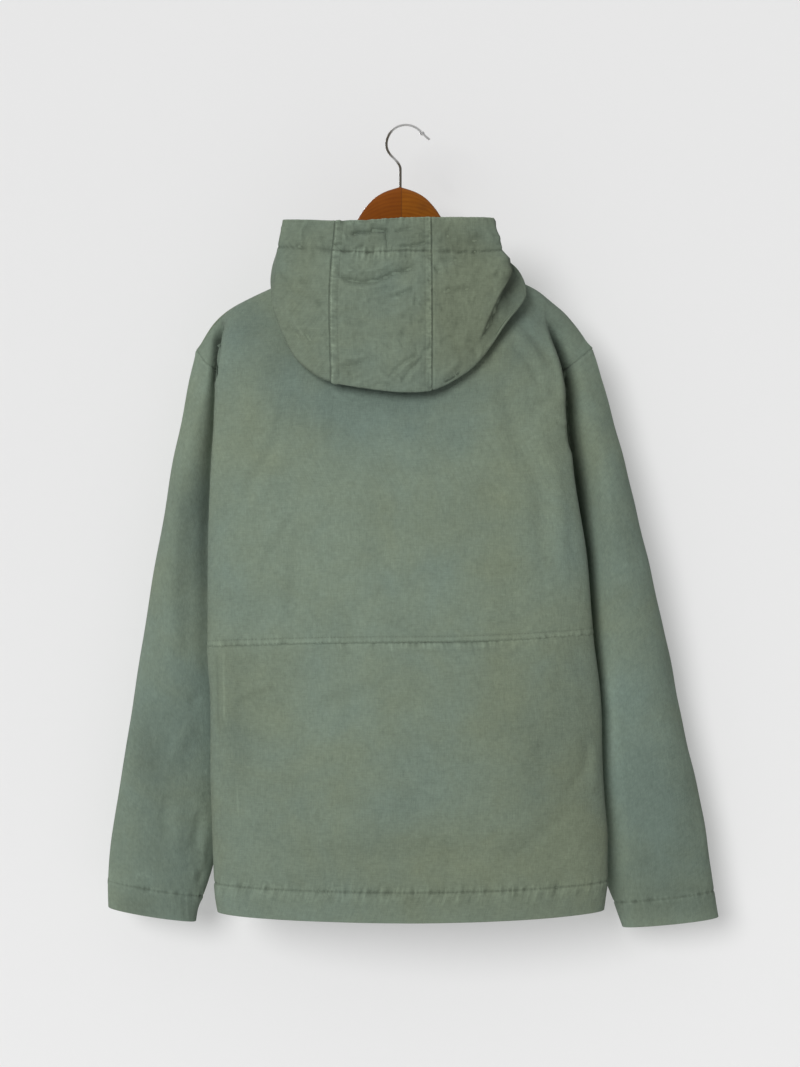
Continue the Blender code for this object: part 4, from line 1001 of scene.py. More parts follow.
def mix_colour(nt, factor, a, b, blend="MIX"):
    n = nt.nodes.new("ShaderNodeMix")
    n.data_type = "RGBA"
    n.blend_type = blend
    for socket, value in (("Factor", factor), ("A", a), ("B", b)):
        s = [i for i in n.inputs if i.name == socket and (i.type == "RGBA" or socket == "Factor" and i.type == "VALUE")][0]
        if hasattr(value, "is_output"):
            nt.links.new(value, s)
        elif socket == "Factor":
            s.default_value = value
        else:
            s.default_value = (*value, 1)
    return [o for o in n.outputs if o.type == "RGBA"][0]


def maths(nt, operation, *values):
    n = nt.nodes.new("ShaderNodeMath")
    n.operation = operation
    for i, v in enumerate(values):
        if hasattr(v, "is_output"):
            nt.links.new(v, n.inputs[i])
        else:
            n.inputs[i].default_value = v
    return n.outputs[0]


def noise(nt, vector, scale, detail=2.0, rough=0.5, distort=0.0):
    n = nt.nodes.new("ShaderNodeTexNoise")
    n.inputs["Scale"].default_value = scale
    n.inputs["Detail"].default_value = detail
    n.inputs["Roughness"].default_value = rough
    n.inputs["Distortion"].default_value = distort
    nt.links.new(vector, n.inputs["Vector"])
    return n.outputs["Fac"]


def remap(nt, value, low, high, to_low=0.0, to_high=1.0):
    n = nt.nodes.new("ShaderNodeMapRange")
    n.inputs["From Min"].default_value = low
    n.inputs["From Max"].default_value = high
    n.inputs["To Min"].default_value = to_low
    n.inputs["To Max"].default_value = to_high
    nt.links.new(value, n.inputs["Value"])
    return n.outputs["Result"]


def scaled(nt, vector, by):
    n = nt.nodes.new("ShaderNodeVectorMath")
    n.operation = "MULTIPLY"
    n.inputs[1].default_value = by
    nt.links.new(vector, n.inputs[0])
    return n.outputs[0]


OLIVE = (0.188, 0.224, 0.156)
SEA = (0.169, 0.224, 0.187)
PALE = (0.262, 0.300, 0.244)


def cloth_material(name, gain=1.0):
    """Garment-dyed cotton: a plain weave with slubs, colour that drifts between olive and sea green, paler on ridges
    and darker in grooves. The paler ridges are partly rubbed cloth and partly painted light. The darker grooves and
    seam lines are painted shade. Patches of painted light and shade come on top, and all of this is carried in the
    wear_and_shading attribute. The third part of the thread attribute says how olive (+1) or how sea green (-1) the
    cloth was dyed at a place."""
    m, nt, bsdf = start_material(name)
    where = nt.nodes.new("ShaderNodeTexCoord").outputs["Object"]
    att = nt.nodes.new("ShaderNodeAttribute")
    att.attribute_name = "thread"
    thread = att.outputs["Vector"]
    wear_and_shading_node = nt.nodes.new("ShaderNodeAttribute")
    wear_and_shading_node.attribute_name = "wear_and_shading"
    wear_and_shading = wear_and_shading_node.outputs["Fac"]
    sep = nt.nodes.new("ShaderNodeSeparateXYZ")
    nt.links.new(thread, sep.inputs[0])
    olive = tuple(c * gain for c in OLIVE)
    sea = tuple(c * gain for c in SEA)
    pale = tuple(c * gain for c in PALE)
    drift = remap(nt, noise(nt, where, 9.0, 4.0, 0.6, 0.3), 0.32, 0.68, -0.28, 0.28)
    drift = maths(nt, "ADD", drift, remap(nt, sep.outputs[2], -1.0, 1.0, 0.0, 1.0))
    base = mix_colour(nt, drift, sea, olive)
    cloud = remap(nt, noise(nt, where, 24.0, 4.0, 0.6, 0.2), 0.3, 0.72, 0.945, 1.055)
    speck = remap(nt, noise(nt, where, 210.0, 3.0, 0.65), 0.28, 0.74, 0.90, 1.10)
    slub_across = remap(nt, noise(nt, scaled(nt, thread, (0.07, 0.95, 0.0)), 1.0, 2.0, 0.6), 0.3, 0.72, 0.935, 1.065)
    slub_down = remap(nt, noise(nt, scaled(nt, thread, (0.95, 0.06, 0.0)), 1.0, 2.0, 0.6), 0.3, 0.72, 0.935, 1.065)
    tone = maths(nt, "MULTIPLY", maths(nt, "MULTIPLY", cloud, speck), maths(nt, "MULTIPLY", slub_across, slub_down))
    # the wear_and_shading attribute scales the tone: paler where the cloth is rubbed and where light is painted, darker
    # where shade is painted
    rubbed_and_shaded = remap(nt, wear_and_shading, -1.0, 1.0, 0.45, 1.55)
    tone = maths(nt, "MULTIPLY", tone, rubbed_and_shaded)
    grey = nt.nodes.new("ShaderNodeCombineColor")
    for k in range(3):
        nt.links.new(tone, grey.inputs[k])
    colour = mix_colour(nt, 1.0, base, grey.outputs[0], "MULTIPLY")
    # ridges lean towards the pale colour, as rubbed cloth and painted light
    tip = remap(nt, wear_and_shading, 0.3, 1.0, 0.0, 0.35)
    colour = mix_colour(nt, tip, colour, pale)
    nt.links.new(colour, bsdf.inputs["Base Color"])
    bsdf.inputs["Roughness"].default_value = 0.93
    bsdf.inputs["Specular IOR Level"].default_value = 0.14
    bsdf.inputs["Sheen Weight"].default_value = 0.04
    bsdf.inputs["Sheen Roughness"].default_value = 0.5
    # plain weave: over and under threads at 0.62 mm
    w = 2 * math.pi / 0.62
    sx = maths(nt, "SINE", maths(nt, "MULTIPLY", sep.outputs[0], w))
    sy = maths(nt, "SINE", maths(nt, "MULTIPLY", sep.outputs[1], w))
    weave = maths(nt, "MULTIPLY", sx, sy)
    rise_h = maths(nt, "MULTIPLY", weave, 0.25)
    rise_h = maths(nt, "ADD", rise_h, maths(nt, "MULTIPLY", slub_across, 4.0))
    rise_h = maths(nt, "ADD", rise_h, maths(nt, "MULTIPLY", slub_down, 4.0))
    crumple = noise(nt, where, 75.0, 4.0, 0.62, 0.4)
    rise_h = maths(nt, "ADD", rise_h, maths(nt, "MULTIPLY", crumple, 6.5))
    bump = nt.nodes.new("ShaderNodeBump")
    bump.inputs["Strength"].default_value = 0.6
    bump.inputs["Distance"].default_value = 0.00030
    nt.links.new(rise_h, bump.inputs["Height"])
    nt.links.new(bump.outputs["Normal"], bsdf.inputs["Normal"])
    return m


def thread_material(name, colour):
    m, nt, bsdf = start_material(name)
    where = nt.nodes.new("ShaderNodeTexCoord").outputs["Object"]
    k = remap(nt, noise(nt, where, 420.0, 2.0), 0.3, 0.7, 0.0, 1.0)
    c = mix_colour(nt, k, tuple(v * 0.8 for v in colour), tuple(v * 1.2 for v in colour))
    nt.links.new(c, bsdf.inputs["Base Color"])
    bsdf.inputs["Roughness"].default_value = 0.7
    twist = nt.nodes.new("ShaderNodeTexWave")
    twist.inputs["Scale"].default_value = 900.0
    twist.bands_direction = "DIAGONAL"
    nt.links.new(where, twist.inputs["Vector"])
    bump = nt.nodes.new("ShaderNodeBump")
    bump.inputs["Strength"].default_value = 0.5
    bump.inputs["Distance"].default_value = 0.0001
    nt.links.new(twist.outputs["Fac"], bump.inputs["Height"])
    nt.links.new(bump.outputs["Normal"], bsdf.inputs["Normal"])
    return m


def tape_material(name):
    m, nt, bsdf = start_material(name)
    where = nt.nodes.new("ShaderNodeTexCoord").outputs["Object"]
    rib = nt.nodes.new("ShaderNodeTexWave")
    rib.inputs["Scale"].default_value = 260.0
    rib.inputs["Distortion"].default_value = 1.2
    rib.inputs["Detail Scale"].default_value = 3.0
    rib.bands_direction = "X"
    nt.links.new(where, rib.inputs["Vector"])
    k = remap(nt, noise(nt, where, 160.0, 3.0), 0.3, 0.7)
    c = mix_colour(nt, k, (0.095, 0.112, 0.085), (0.140, 0.160, 0.125))
    c = mix_colour(nt, remap(nt, rib.outputs["Fac"], 0, 1, 0, 0.35), c, (0.07, 0.085, 0.065))
    nt.links.new(c, bsdf.inputs["Base Color"])
    bsdf.inputs["Roughness"].default_value = 0.85
    bump = nt.nodes.new("ShaderNodeBump")
    bump.inputs["Strength"].default_value = 0.6
    bump.inputs["Distance"].default_value = 0.0002
    nt.links.new(rib.outputs["Fac"], bump.inputs["Height"])
    nt.links.new(bump.outputs["Normal"], bsdf.inputs["Normal"])
    return m


def wood_material(name):
    """Varnished wood, two halves joined at the middle with grain running out to the arms."""
    m, nt, bsdf = start_material(name)
    where = nt.nodes.new("ShaderNodeTexCoord").outputs["Object"]
    sep = nt.nodes.new("ShaderNodeSeparateXYZ")
    nt.links.new(where, sep.inputs[0])
    # distance from the joint, and which half
    off = maths(nt, "SUBTRACT", sep.outputs[0], 0.0054)
    left = remap(nt, off, -0.0003, 0.0003)
    away = maths(nt, "ABSOLUTE", off)
    # the grain follows the bent arm
    drop = maths(nt, "MULTIPLY", maths(nt, "POWER", maths(nt, "MINIMUM", away, 0.09), 2.0), 7.0)
    level_ = maths(nt, "ADD", sep.outputs[2], drop)
    comb = nt.nodes.new("ShaderNodeCombineXYZ")
    nt.links.new(maths(nt, "ADD", away, maths(nt, "MULTIPLY", left, 0.31)), comb.inputs[0])
    nt.links.new(sep.outputs[1], comb.inputs[1])
    nt.links.new(level_, comb.inputs[2])
    vec = scaled(nt, comb.outputs[0], (0.16, 1.0, 1.0))
    rings = nt.nodes.new("ShaderNodeTexWave")
    rings.bands_direction = "Z"
    rings.inputs["Scale"].default_value = 62.0
    rings.inputs["Distortion"].default_value = 5.0
    rings.inputs["Detail"].default_value = 3.0
    rings.inputs["Detail Scale"].default_value = 1.4
    nt.links.new(vec, rings.inputs["Vector"])
    fibre = noise(nt, scaled(nt, comb.outputs[0], (0.06, 1.0, 1.0)), 640.0, 4.0, 0.65)
    cloud = noise(nt, where, 32.0, 3.0, 0.5)
    k = maths(nt, "ADD", maths(nt, "MULTIPLY", rings.outputs["Fac"], 0.13),
              maths(nt, "ADD", maths(nt, "MULTIPLY", fibre, 0.35), maths(nt, "MULTIPLY", cloud, 0.45)))
    k = remap(nt, k, 0.24, 0.72)
    right_c = mix_colour(nt, k, (0.174, 0.048, 0.003), (0.292, 0.097, 0.007))
    left_c = mix_colour(nt, k, (0.152, 0.038, 0.003), (0.229, 0.065, 0.005))
    c = mix_colour(nt, left, right_c, left_c)
    # a dark line along the joint, and darker further out along the arms
    line = remap(nt, away, 0.0, 0.0010, 0.55, 0.0)
    c = mix_colour(nt, line, c, (0.075, 0.026, 0.008))
    rim_dark = remap(nt, away, 0.035, 0.066, 0.0, 0.42)
    c = mix_colour(nt, rim_dark, c, (0.12, 0.036, 0.008))
    knot = nt.nodes.new("ShaderNodeVectorMath")
    knot.operation = "DISTANCE"
    knot.inputs[1].default_value = (-0.0215, 0.006, -0.0968)
    nt.links.new(where, knot.inputs[0])
    c = mix_colour(nt, remap(nt, knot.outputs["Value"], 0.0015, 0.010, 0.4, 0.0), c, (0.10, 0.032, 0.008))
    nt.links.new(c, bsdf.inputs["Base Color"])
    bsdf.inputs["Roughness"].default_value = 0.42
    bsdf.inputs["Specular IOR Level"].default_value = 0.2
    bsdf.inputs["Coat Weight"].default_value = 0.04
    bsdf.inputs["Coat Roughness"].default_value = 0.25
    bump = nt.nodes.new("ShaderNodeBump")
    bump.inputs["Strength"].default_value = 0.25
    bump.inputs["Distance"].default_value = 0.0002
    nt.links.new(fibre, bump.inputs["Height"])
    nt.links.new(bump.outputs["Normal"], bsdf.inputs["Normal"])
    return m


def metal_material(name, colour, rough, scratch=0.12, painted_dark_reflection=None):
    m, nt, bsdf = start_material(name)
    where = nt.nodes.new("ShaderNodeTexCoord").outputs["Object"]
    n1 = noise(nt, where, 350.0, 4.0, 0.6)
    n2 = noise(nt, where, 45.0, 3.0, 0.5)
    k = remap(nt, n2, 0.3, 0.7)
    c = mix_colour(nt, k, tuple(v * 0.86 for v in colour), tuple(min(v * 1.1, 1) for v in colour))
    if painted_dark_reflection:
        # painted dark reflection along the stem and the side of the bend, bright over its top
        sep = nt.nodes.new("ShaderNodeSeparateXYZ")
        nt.links.new(where, sep.inputs[0])
        stem = remap(nt, sep.outputs[2], -0.046, -0.040, 1.0, 0.0)
        side = maths(nt, "MULTIPLY", remap(nt, sep.outputs[0], 0.014, 0.020, 0.0, 1.0),
                     remap(nt, sep.outputs[2], -0.004, 0.010, 1.0, 0.0))
        c = mix_colour(nt, maths(nt, "MAXIMUM", stem, side), c, painted_dark_reflection)
    nt.links.new(c, bsdf.inputs["Base Color"])
    bsdf.inputs["Metallic"].default_value = 1.0
    r = remap(nt, n1, 0.3, 0.7, rough - scratch / 2, rough + scratch / 2)
    nt.links.new(r, bsdf.inputs["Roughness"])
    bump = nt.nodes.new("ShaderNodeBump")
    bump.inputs["Strength"].default_value = 0.12
    bump.inputs["Distance"].default_value = 0.0001
    nt.links.new(n1, bump.inputs["Height"])
    nt.links.new(bump.outputs["Normal"], bsdf.inputs["Normal"])
    return m


CLOTH_MAT = cloth_material("parka_cotton")
THREAD_MAT = thread_material("parka_thread", (0.116, 0.138, 0.100))
TAPE_MAT = tape_material("zip_tape_weave")
WOOD_MAT = wood_material("hanger_varnished_wood")
HOOK_MAT = metal_material("hook_wire_steel", (0.98, 0.97, 0.96), 0.34, 0.06, painted_dark_reflection=(0.30, 0.27, 0.22))
ZIP_MAT = metal_material("zip_antique_metal", (0.34, 0.30, 0.22), 0.38, 0.2)


# ---- the back ----------------------------------------------------------------------
P_all = np.concatenate([panels["back", "right"][:, ::-1], panels["back", "left"][:, 1:]], axis=1)
N_all = np.concatenate([normals["back", "right"][:, ::-1], normals["back", "left"][:, 1:]], axis=1)
middle = len(columns_of_body()) - 1
for i in range(P_all.shape[0]):
    N_all[i, middle] = unit(normals["back", "right"][i, 0] + normals["back", "left"][i, 0])

# Path on the drawing plane, half width, height in mm, share of the length where it fades
BACK_FOLDS = (
    (((286, 392), (281, 422), (275, 448), (260, 466), (250, 482), (241, 514)), 6.5, -1.5, 0.2),
    (((276, 390), (268, 430), (256, 456), (244, 476), (233, 512)), 8.0, 1.5, 0.2),
    (((302, 396), (296, 430), (292, 470)), 9.0, -1.0, 0.35),
    (((326, 404), (322, 432), (320, 452)), 8.0, 0.9, 0.35),
    (((339, 398), (335, 425), (332, 448)), 7.0, -1.2, 0.35),
    (((302, 486), (296, 510), (284, 532), (272, 553), (263, 580), (257, 604), (245, 632)), 3.2, -0.7, 0.2),
    (((293, 486), (288, 508), (276, 530), (264, 552), (255, 580)), 4.0, 0.5, 0.3),
    (((299, 528), (296, 570), (296, 594), (292, 612), (280, 636)), 7.5, -1.5, 0.25),
    (((286, 540), (283, 580), (280, 604), (268, 630)), 7.0, 1.0, 0.3),
    (((352, 607), (372, 597), (391, 592), (412, 596), (430, 604)), 6.0, -1.1, 0.35),
    (((360, 596), (391, 582), (420, 588)), 7.0, 0.8, 0.35),
    (((497, 366), (503, 388), (508, 404), (517, 432), (527, 458), (540, 492), (543, 540), (546, 590)), 9.0, -2.2, 0.2),
    (((520, 420), (540, 440), (556, 480), (561, 530), (566, 590)), 8.0, 2.2, 0.2),
    (((484, 372), (490, 400), (498, 430), (508, 470)), 9.0, 1.0, 0.3),
    (((507, 341), (520, 352), (528, 361), (536, 375), (538, 388)), 4.5, -2.2, 0.25),
    (((513, 332), (528, 345), (538, 358), (545, 372)), 4.5, 1.5, 0.3),
    (((515, 322), (529, 333), (539, 346), (553, 362)), 4.0, -1.6, 0.25),
    (((520, 312), (536, 326), (548, 340)), 4.5, 1.2, 0.3),
    (((526, 410), (538, 406), (553, 402)), 5.0, -1.6, 0.35),
    (((528, 400), (540, 396), (552, 393)), 4.0, 0.9, 0.35),
    (((544, 383), (557, 395)), 3.0, -0.7, 0.4),
    (((556, 417), (562, 420), (567, 425)), 2.2, 1.4, 0.25),
    (((555, 422), (561, 425), (566, 430)), 2.0, -1.4, 0.25),
    (((537, 601), (547, 598), (558, 595)), 3.5, -1.1, 0.35),
    (((520, 615), (527, 600), (532, 585)), 3.5, 0.6, 0.35),
    (((231, 317), (224, 341), (214, 369)), 4.0, -1.6, 0.25),
    (((238, 312), (233, 340), (228, 372), (224, 410)), 7.0, 1.6, 0.3),
    (((250, 330), (246, 370), (243, 410)), 6.0, -0.8, 0.35),
    (((440, 470), (470, 500), (484, 560)), 14.0, 0.8, 0.35),
    (((370, 470), (360, 540), (345, 600)), 14.0, 0.7, 0.35),
    (((228, 470), (222, 520), (219, 570)), 5.0, 0.9, 0.3),
    (((500, 560), (510, 590), (506, 620)), 8.0, -0.8, 0.35),
    (((455, 560), (452, 600), (462, 632)), 9.0, 0.5, 0.35),
)
# the rounded ridge along the folded edges beside the sleeves
EDGE_FOLDS = (
    (((542, 322), (549, 338), (556, 356), (561, 382), (563, 410)), 4.6, 2.2, 0.2),
    (((233, 312), (228, 325), (223, 340), (219.5, 362), (218, 400)), 2.6, 2.6, 0.25),
    (((222, 318), (218.8, 330), (217, 342), (216, 354), (215.2, 368), (214.5, 384)), 3.2, -9.5, 0.2),
    (((549, 326), (556, 339), (562, 354), (566.5, 371), (568.5, 388)), 3.6, -6.0, 0.2),
)
# painted shade in the creases beside those edges: path, half width, how dark, share of the length where it fades
CREASE_PAINTED_SHADE = ((((218.4, 325), (217.0, 338), (216.0, 350), (215.4, 362), (214.8, 376), (214.2, 392)), 2.7, -0.95, 0.25),
               (((215.4, 330), (214.2, 342), (213.4, 354), (212.8, 368)), 2.4, -0.6, 0.3),
               (((551, 331), (558, 346), (563.5, 361), (567, 378), (568.5, 392)), 3.0, -0.6, 0.25))
# where the cloth falls back beside those edges: across, down, depth in mm, reach
GROOVE = {
    "left": ((223, 318, 0, 5), (219, 330, 7.5, 6), (217, 345, 12, 6), (215.5, 362, 15, 5.5), (215, 380, 16, 5),
             (214.3, 400, 16, 6), (213, 425, 17, 8), (211.5, 450, 18, 11), (209.5, 480, 17, 14), (207, 520, 11, 16),
             (205, 560, 6, 16), (204, 600, 3.5, 13), (204, 640, 2, 9), (204.5, 700, 1, 8), (205, 780, 1, 8), (206, 860, 1, 6)),
    "right": ((545, 322, 0, 4), (551, 334, 12, 7), (558, 350, 22, 8), (563, 366, 27, 8), (566, 388, 30, 8.5),
              (568, 410, 33, 9), (570, 432, 35, 10), (574, 465, 38, 12), (579, 505, 40, 12), (583.5, 535, 40, 9),
              (587, 565, 38, 7), (590, 600, 26, 5.5), (593.5, 640, 15, 5), (597, 680, 10, 4.5), (598.5, 740, 7, 4.5),
              (599.5, 800, 5, 4.5), (603, 860, 4, 4))}
SKIRT_FOLDS = (
    (((217, 650), (217.6, 690), (218, 726), (220, 760)), 1.8, -1.0, 0.12),
    (((223.6, 650), (224.4, 690), (225, 726), (227, 770)), 1.6, 0.8, 0.15),
    (((236, 772), (238, 800), (238.5, 824)), 1.6, 0.5, 0.3),
    (((228, 722), (236, 710), (249, 699), (272, 692), (290, 690)), 4.2, -1.6, 0.25),
    (((229, 708), (240, 696), (255, 688), (275, 682)), 5.0, 1.4, 0.25),
    (((224, 738), (232, 746), (240, 744)), 7.0, -1.0, 0.3),
    (((292, 718), (323, 708), (353, 698), (383, 684), (411, 664)), 8.0, -1.3, 0.25),
    (((290, 702), (323, 692), (356, 680), (384, 664)), 8.0, 1.0, 0.3),
    (((486, 748), (498, 742), (510, 735)), 5.0, -1.3, 0.3),
    (((520, 762), (529, 748), (536, 732)), 8.0, 1.0, 0.3),
    (((585, 730), (588, 758), (580, 776), (560, 800)), 5.0, -1.6, 0.25),
    (((594, 745), (594, 775), (588, 800)), 5.0, 1.2, 0.3),
    (((494, 872), (531, 842), (559, 821), (577, 803)), 7.0, -1.3, 0.25),
    (((480, 862), (516, 832), (546, 808), (566, 790)), 8.0, 1.0, 0.3),
    (((416, 856), (436, 834), (446, 820)), 5.0, -0.9, 0.3),
    (((441, 876), (460, 850), (470, 836)), 5.0, -0.8, 0.3),
    (((428, 866), (448, 842)), 5.0, 0.7, 0.35),
    (((318, 821), (331, 817.5), (339, 812)), 2.2, -0.7, 0.3),
    (((317, 816), (330, 812), (338, 806.5)), 2.4, 0.6, 0.3),
    (((300, 858), (310, 856), (320, 848)), 5.0, -0.9, 0.35),
    (((360, 700), (330, 740), (296, 790)), 14.0, 0.8, 0.35),
    (((450, 690), (430, 750), (440, 800)), 14.0, -0.7, 0.35),
    (((470, 668), (500, 690), (520, 720)), 8.0, -0.7, 0.35),
    (((500, 652), (512, 648), (524, 640)), 3.0, 0.8, 0.3),
    (((506, 658), (516, 654), (526, 648)), 3.0, -1.0, 0.3),
    (((250, 790), (290, 800), (330, 840), (350, 880)), 13.0, 0.8, 0.35),
    (((562, 650), (575, 690), (582, 730)), 6.0, 0.9, 0.3),
    (((290, 650), (286, 668), (280, 684)), 5.0, -0.9, 0.35),
    (((380, 780), (400, 810), (392, 850)), 9.0, 0.6, 0.35),
    (((268, 740), (300, 752), (340, 750)), 7.0, -0.6, 0.35),
)
WAIST_Y = ((205, 646.4), (249, 646.8), (293, 645), (351, 644.6), (381, 643.2), (420, 642.7),
           (484, 641.7), (505, 640.8), (554, 639), (575, 636.8), (596, 634))

col_at_mm = lengths(P_all, 1)
row_at_mm = lengths(P_all, 0)
waist_mm = row_at_mm[ROW_WAIST]
HEM_DEEP = 35.0


BACK_COLS = places(lengths(P_all, 1), 1.4)


def back_piece(first_row, last_row, spacing_rows, fine_rows):
    P0, N0 = P_all[first_row:last_row + 1], N_all[first_row:last_row + 1]
    rows = places(lengths(P0, 0), spacing_rows, fine_rows)
    cols = BACK_COLS
    P, N = refine(P0, rows, cols), refine(N0, rows, cols)
    N /= np.linalg.norm(N, axis=2)[..., None]
    return P, N


def facing(N):
    """1 where the cloth faces the back, 0 where it is turned away."""
    return smooth((N[..., 1] - 0.05) / 0.35)


# where the cloth is painted darker (-), as painted shade below the hood, beside the shoulders and towards the bottom,
# or paler (+), as painted light: place, reaches, value
BACK_PAINTED_LIGHT_AND_SHADE = (
    (248, 322, 22, 28, -0.38), (276, 368, 24, 26, -0.26), (288, 412, 26, 24, -0.14), (335, 425, 30, 22, -0.2),
    (425, 432, 44, 14, -0.14), (236, 715, 12, 60, -0.2), (380, 845, 130, 16, -0.16),
    (395, 395, 70, 20, -0.30), (500, 370, 40, 40, -0.12), (535, 335, 40, 30, -0.12), (300, 360, 40, 40, -0.08),
    (560, 480, 24, 120, 0.02), (320, 520, 90, 90, 0.05), (560, 760, 60, 120, -0.22), (400, 900, 260, 34, -0.24),
    (400, 810, 180, 70, -0.10), (240, 740, 40, 120, -0.14), (500, 720, 60, 60, -0.06))
# where the dye took more olive (+) or more sea green (-): place, reaches, value
BACK_DYE = (
    (360, 392, 70, 28, -1.1), (240, 325, 26, 30, -0.8), (286, 378, 26, 34, -0.6), (400, 430, 90, 26, -0.6),
    (250, 420, 30, 40, 0.45), (300, 440, 40, 26, 0.45), (232, 500, 16, 50, -0.35), (500, 480, 24, 160, 0.55),
    (530, 330, 30, 30, -0.45), (566, 560, 16, 60, -0.5), (500, 690, 30, 90, 0.5), (580, 800, 30, 80, 0.75),
    (530, 860, 70, 60, 0.7), (360, 860, 90, 30, 0.3), (230, 600, 20, 80, -0.15), (300, 670, 30, 30, -0.1),
    (420, 540, 120, 120, -0.08), (470, 880, 60, 40, 0.35), (380, 760, 60, 40, -0.15))

STITCHES = Seams()

# lower back: hem 35 mm deep, side line on the left, waist seam along the top
P, N = back_piece(0, ROW_WAIST, 2.5,
                  ((HEM_DEEP, 10, 1.3), (waist_mm - 4, 10, 1.3), (1, 3, 1.2)))
X, Y = drawing(P)
up = along_rows(P)
across = along_cols(P)
width = across[:, -1].mean()
below_waist = up[-1][None, :] - up
face = facing(N)
h = waves(P, 11, 150, 0.9) + (0.9 * strokes(SKIRT_FOLDS, X, Y)
                             + crumple(X, Y, (208, 650, 600, 880), 110, 83, 5.0, 44, 0.35, 0.9)
                             + crumple(X, Y, (208, 868, 600, 915), 46, 84, 2.4, 16, 0.35, 1.5)) * face
hem_t = up - HEM_DEEP
# hem band: pulled in at its stitches, a little proud below them
h += -1.2 * np.exp(-(hem_t / 1.5) ** 2) + 0.5 * smooth((2 - hem_t) / 3)
hem_puck = (puckers(across, hem_t, width, 3.4, 7.0, 1.15, 21,
                    [(0, 0.5), (0.28, 0.9), (0.45, 1.0), (0.8, 0.9), (1, 0.5)])
            + puckers(across, hem_t + 8, width, 6.5, 8.0, 0.6, 22))
seam_puck = puckers(across, below_waist, width, 5.0, 9.0, 1.2, 23,
                    [(0, 0.1), (0.15, 0.3), (0.3, 0.75), (0.42, 1.0), (0.56, 1.0), (0.62, 0.5), (0.66, 0.25), (1, 0.3)],
                    one_side=True)
# the fuller cloth that stands up under the middle of the waist seam
roll_x = np.interp(X, [385, 402, 425, 470, 495, 508], [0, 0.8, 1, 1, 0.9, 0])
h += 1.9 * roll_x * np.exp(-((below_waist - 5.5) / 4.2) ** 2)
firm = np.interp(X, [208, 300, 480, 520, 600], [0.6, 0.8, 1.0, 0.45, 0.4])
h += -1.0 * firm * np.exp(-(below_waist / 1.2) ** 2)
h += (hem_puck + seam_puck) * (0.35 + 0.65 * face)
# painted shade in the hem and waist seam lines and in a fold trough, painted light on the roll under the waist seam and
# along fold ridges, paler puckers and hem edge as rubbed cloth and painted light, and the back's patches of painted
# light and shade
wear_and_shading_map = (patches(BACK_PAINTED_LIGHT_AND_SHADE, X, Y) - 0.03 + hem_puck * 0.5 + seam_puck * 0.4 - 0.4 * np.exp(-(hem_t / 1.3) ** 2)
            + 0.12 * roll_x * np.exp(-((below_waist - 6.5) / 3.0) ** 2)
            + 0.10 * smooth((1.6 - up) / 1.6) - 0.3 * firm * np.exp(-(below_waist / 0.9) ** 2)
            + strokes(((((224, 650), (225, 724)), 0.9, 0.30, 0.1), (((217, 650), (218, 726)), 1.4, -0.22, 0.1),
                       (((237.5, 776), (238.3, 822)), 0.9, 0.25, 0.3),
                       (((318, 818), (331, 814.5), (339, 809)), 1.0, 0.25, 0.3)), X, Y) * face)
back_lower, outer = cloth_shell("back_lower_cloth", P, N, h, np.clip(wear_and_shading_map, -1, 1), CLOTH_MAT,
                                dye=0.05 + patches(BACK_DYE, X, Y))
n_out = surface_normals(outer, N)
line = row_at(outer, up, HEM_DEEP)
line_n = row_at(n_out, up, HEM_DEEP)
STITCHES.run(line, line_n, 2.9, 0.9, 0.33)
size_lower = (np.linalg.norm(np.diff(outer, axis=1), axis=2).sum(axis=1).mean() * MM,
              np.linalg.norm(np.diff(outer, axis=0), axis=2).sum(axis=0).mean() * MM)

# upper back: waist seam along its lower edge, topstitched 7 mm above
P, N = back_piece(ROW_WAIST, len(rows_of_body()) - 1, 2.8, ((4, 10, 1.3),))
X, Y = drawing(P)
up = along_rows(P)
across = along_cols(P)
width = across[:, -1].mean()
face = facing(N)
edge_side = np.minimum(across, across[:, -1:] - across)
h = (waves(P, 12, 190, 1.0) + (0.95 * strokes(BACK_FOLDS, X, Y) + strokes(EDGE_FOLDS, X, Y)
                               + crumple(X, Y, (215, 330, 590, 640), 110, 81, 5.0, 46, 0.35, 1.35)
                               + crumple(X, Y, (215, 560, 590, 640), 50, 82, 2.6, 20, 0.3, 1.4)) * face)
# the cloth under the hood is pushed up towards its lower edge
P[..., 1] += patches(((478, 350, 44, 34, 7.5), (511, 310, 32, 40, 9.5), (430, 386, 70, 24, 4.0)), X, Y) * face
# the tucks behind the folded edges fall back with the sleeves
index = BACK_COLS[None, :] + np.zeros(X.shape)
for side, s in SIGN.items():
    past = index - (2 * middle - COLS_TUCK) if side == "left" else COLS_TUCK - index
    P[..., 1] -= (groove(GROOVE[side], s, X, Y) * smooth((past + 1) / 4) * smooth((P[..., 2] + 470) / 25)
                  * smooth((N[..., 1] + 0.1) / 0.3))
seam_puck = puckers(across, up, width, 4.8, 8.0, 1.3, 24,
                    [(0, 0.4), (0.12, 0.8), (0.20, 1.0), (0.235, 0.25), (0.45, 0.15), (0.62, 0.25), (0.66, 0.8), (0.85, 1.0), (1, 0.5)],
                    one_side=True)
h += seam_puck * (0.35 + 0.65 * face)
firm = np.interp(X, [208, 300, 480, 520, 600], [0.6, 0.8, 1.0, 0.45, 0.4])
h += -0.9 * firm * np.exp(-(up / 1.2) ** 2) + 0.22 * np.exp(-((up - 3.8) / 2.6) ** 2) - 0.4 * np.exp(-((up - 7.2) / 1.0) ** 2)
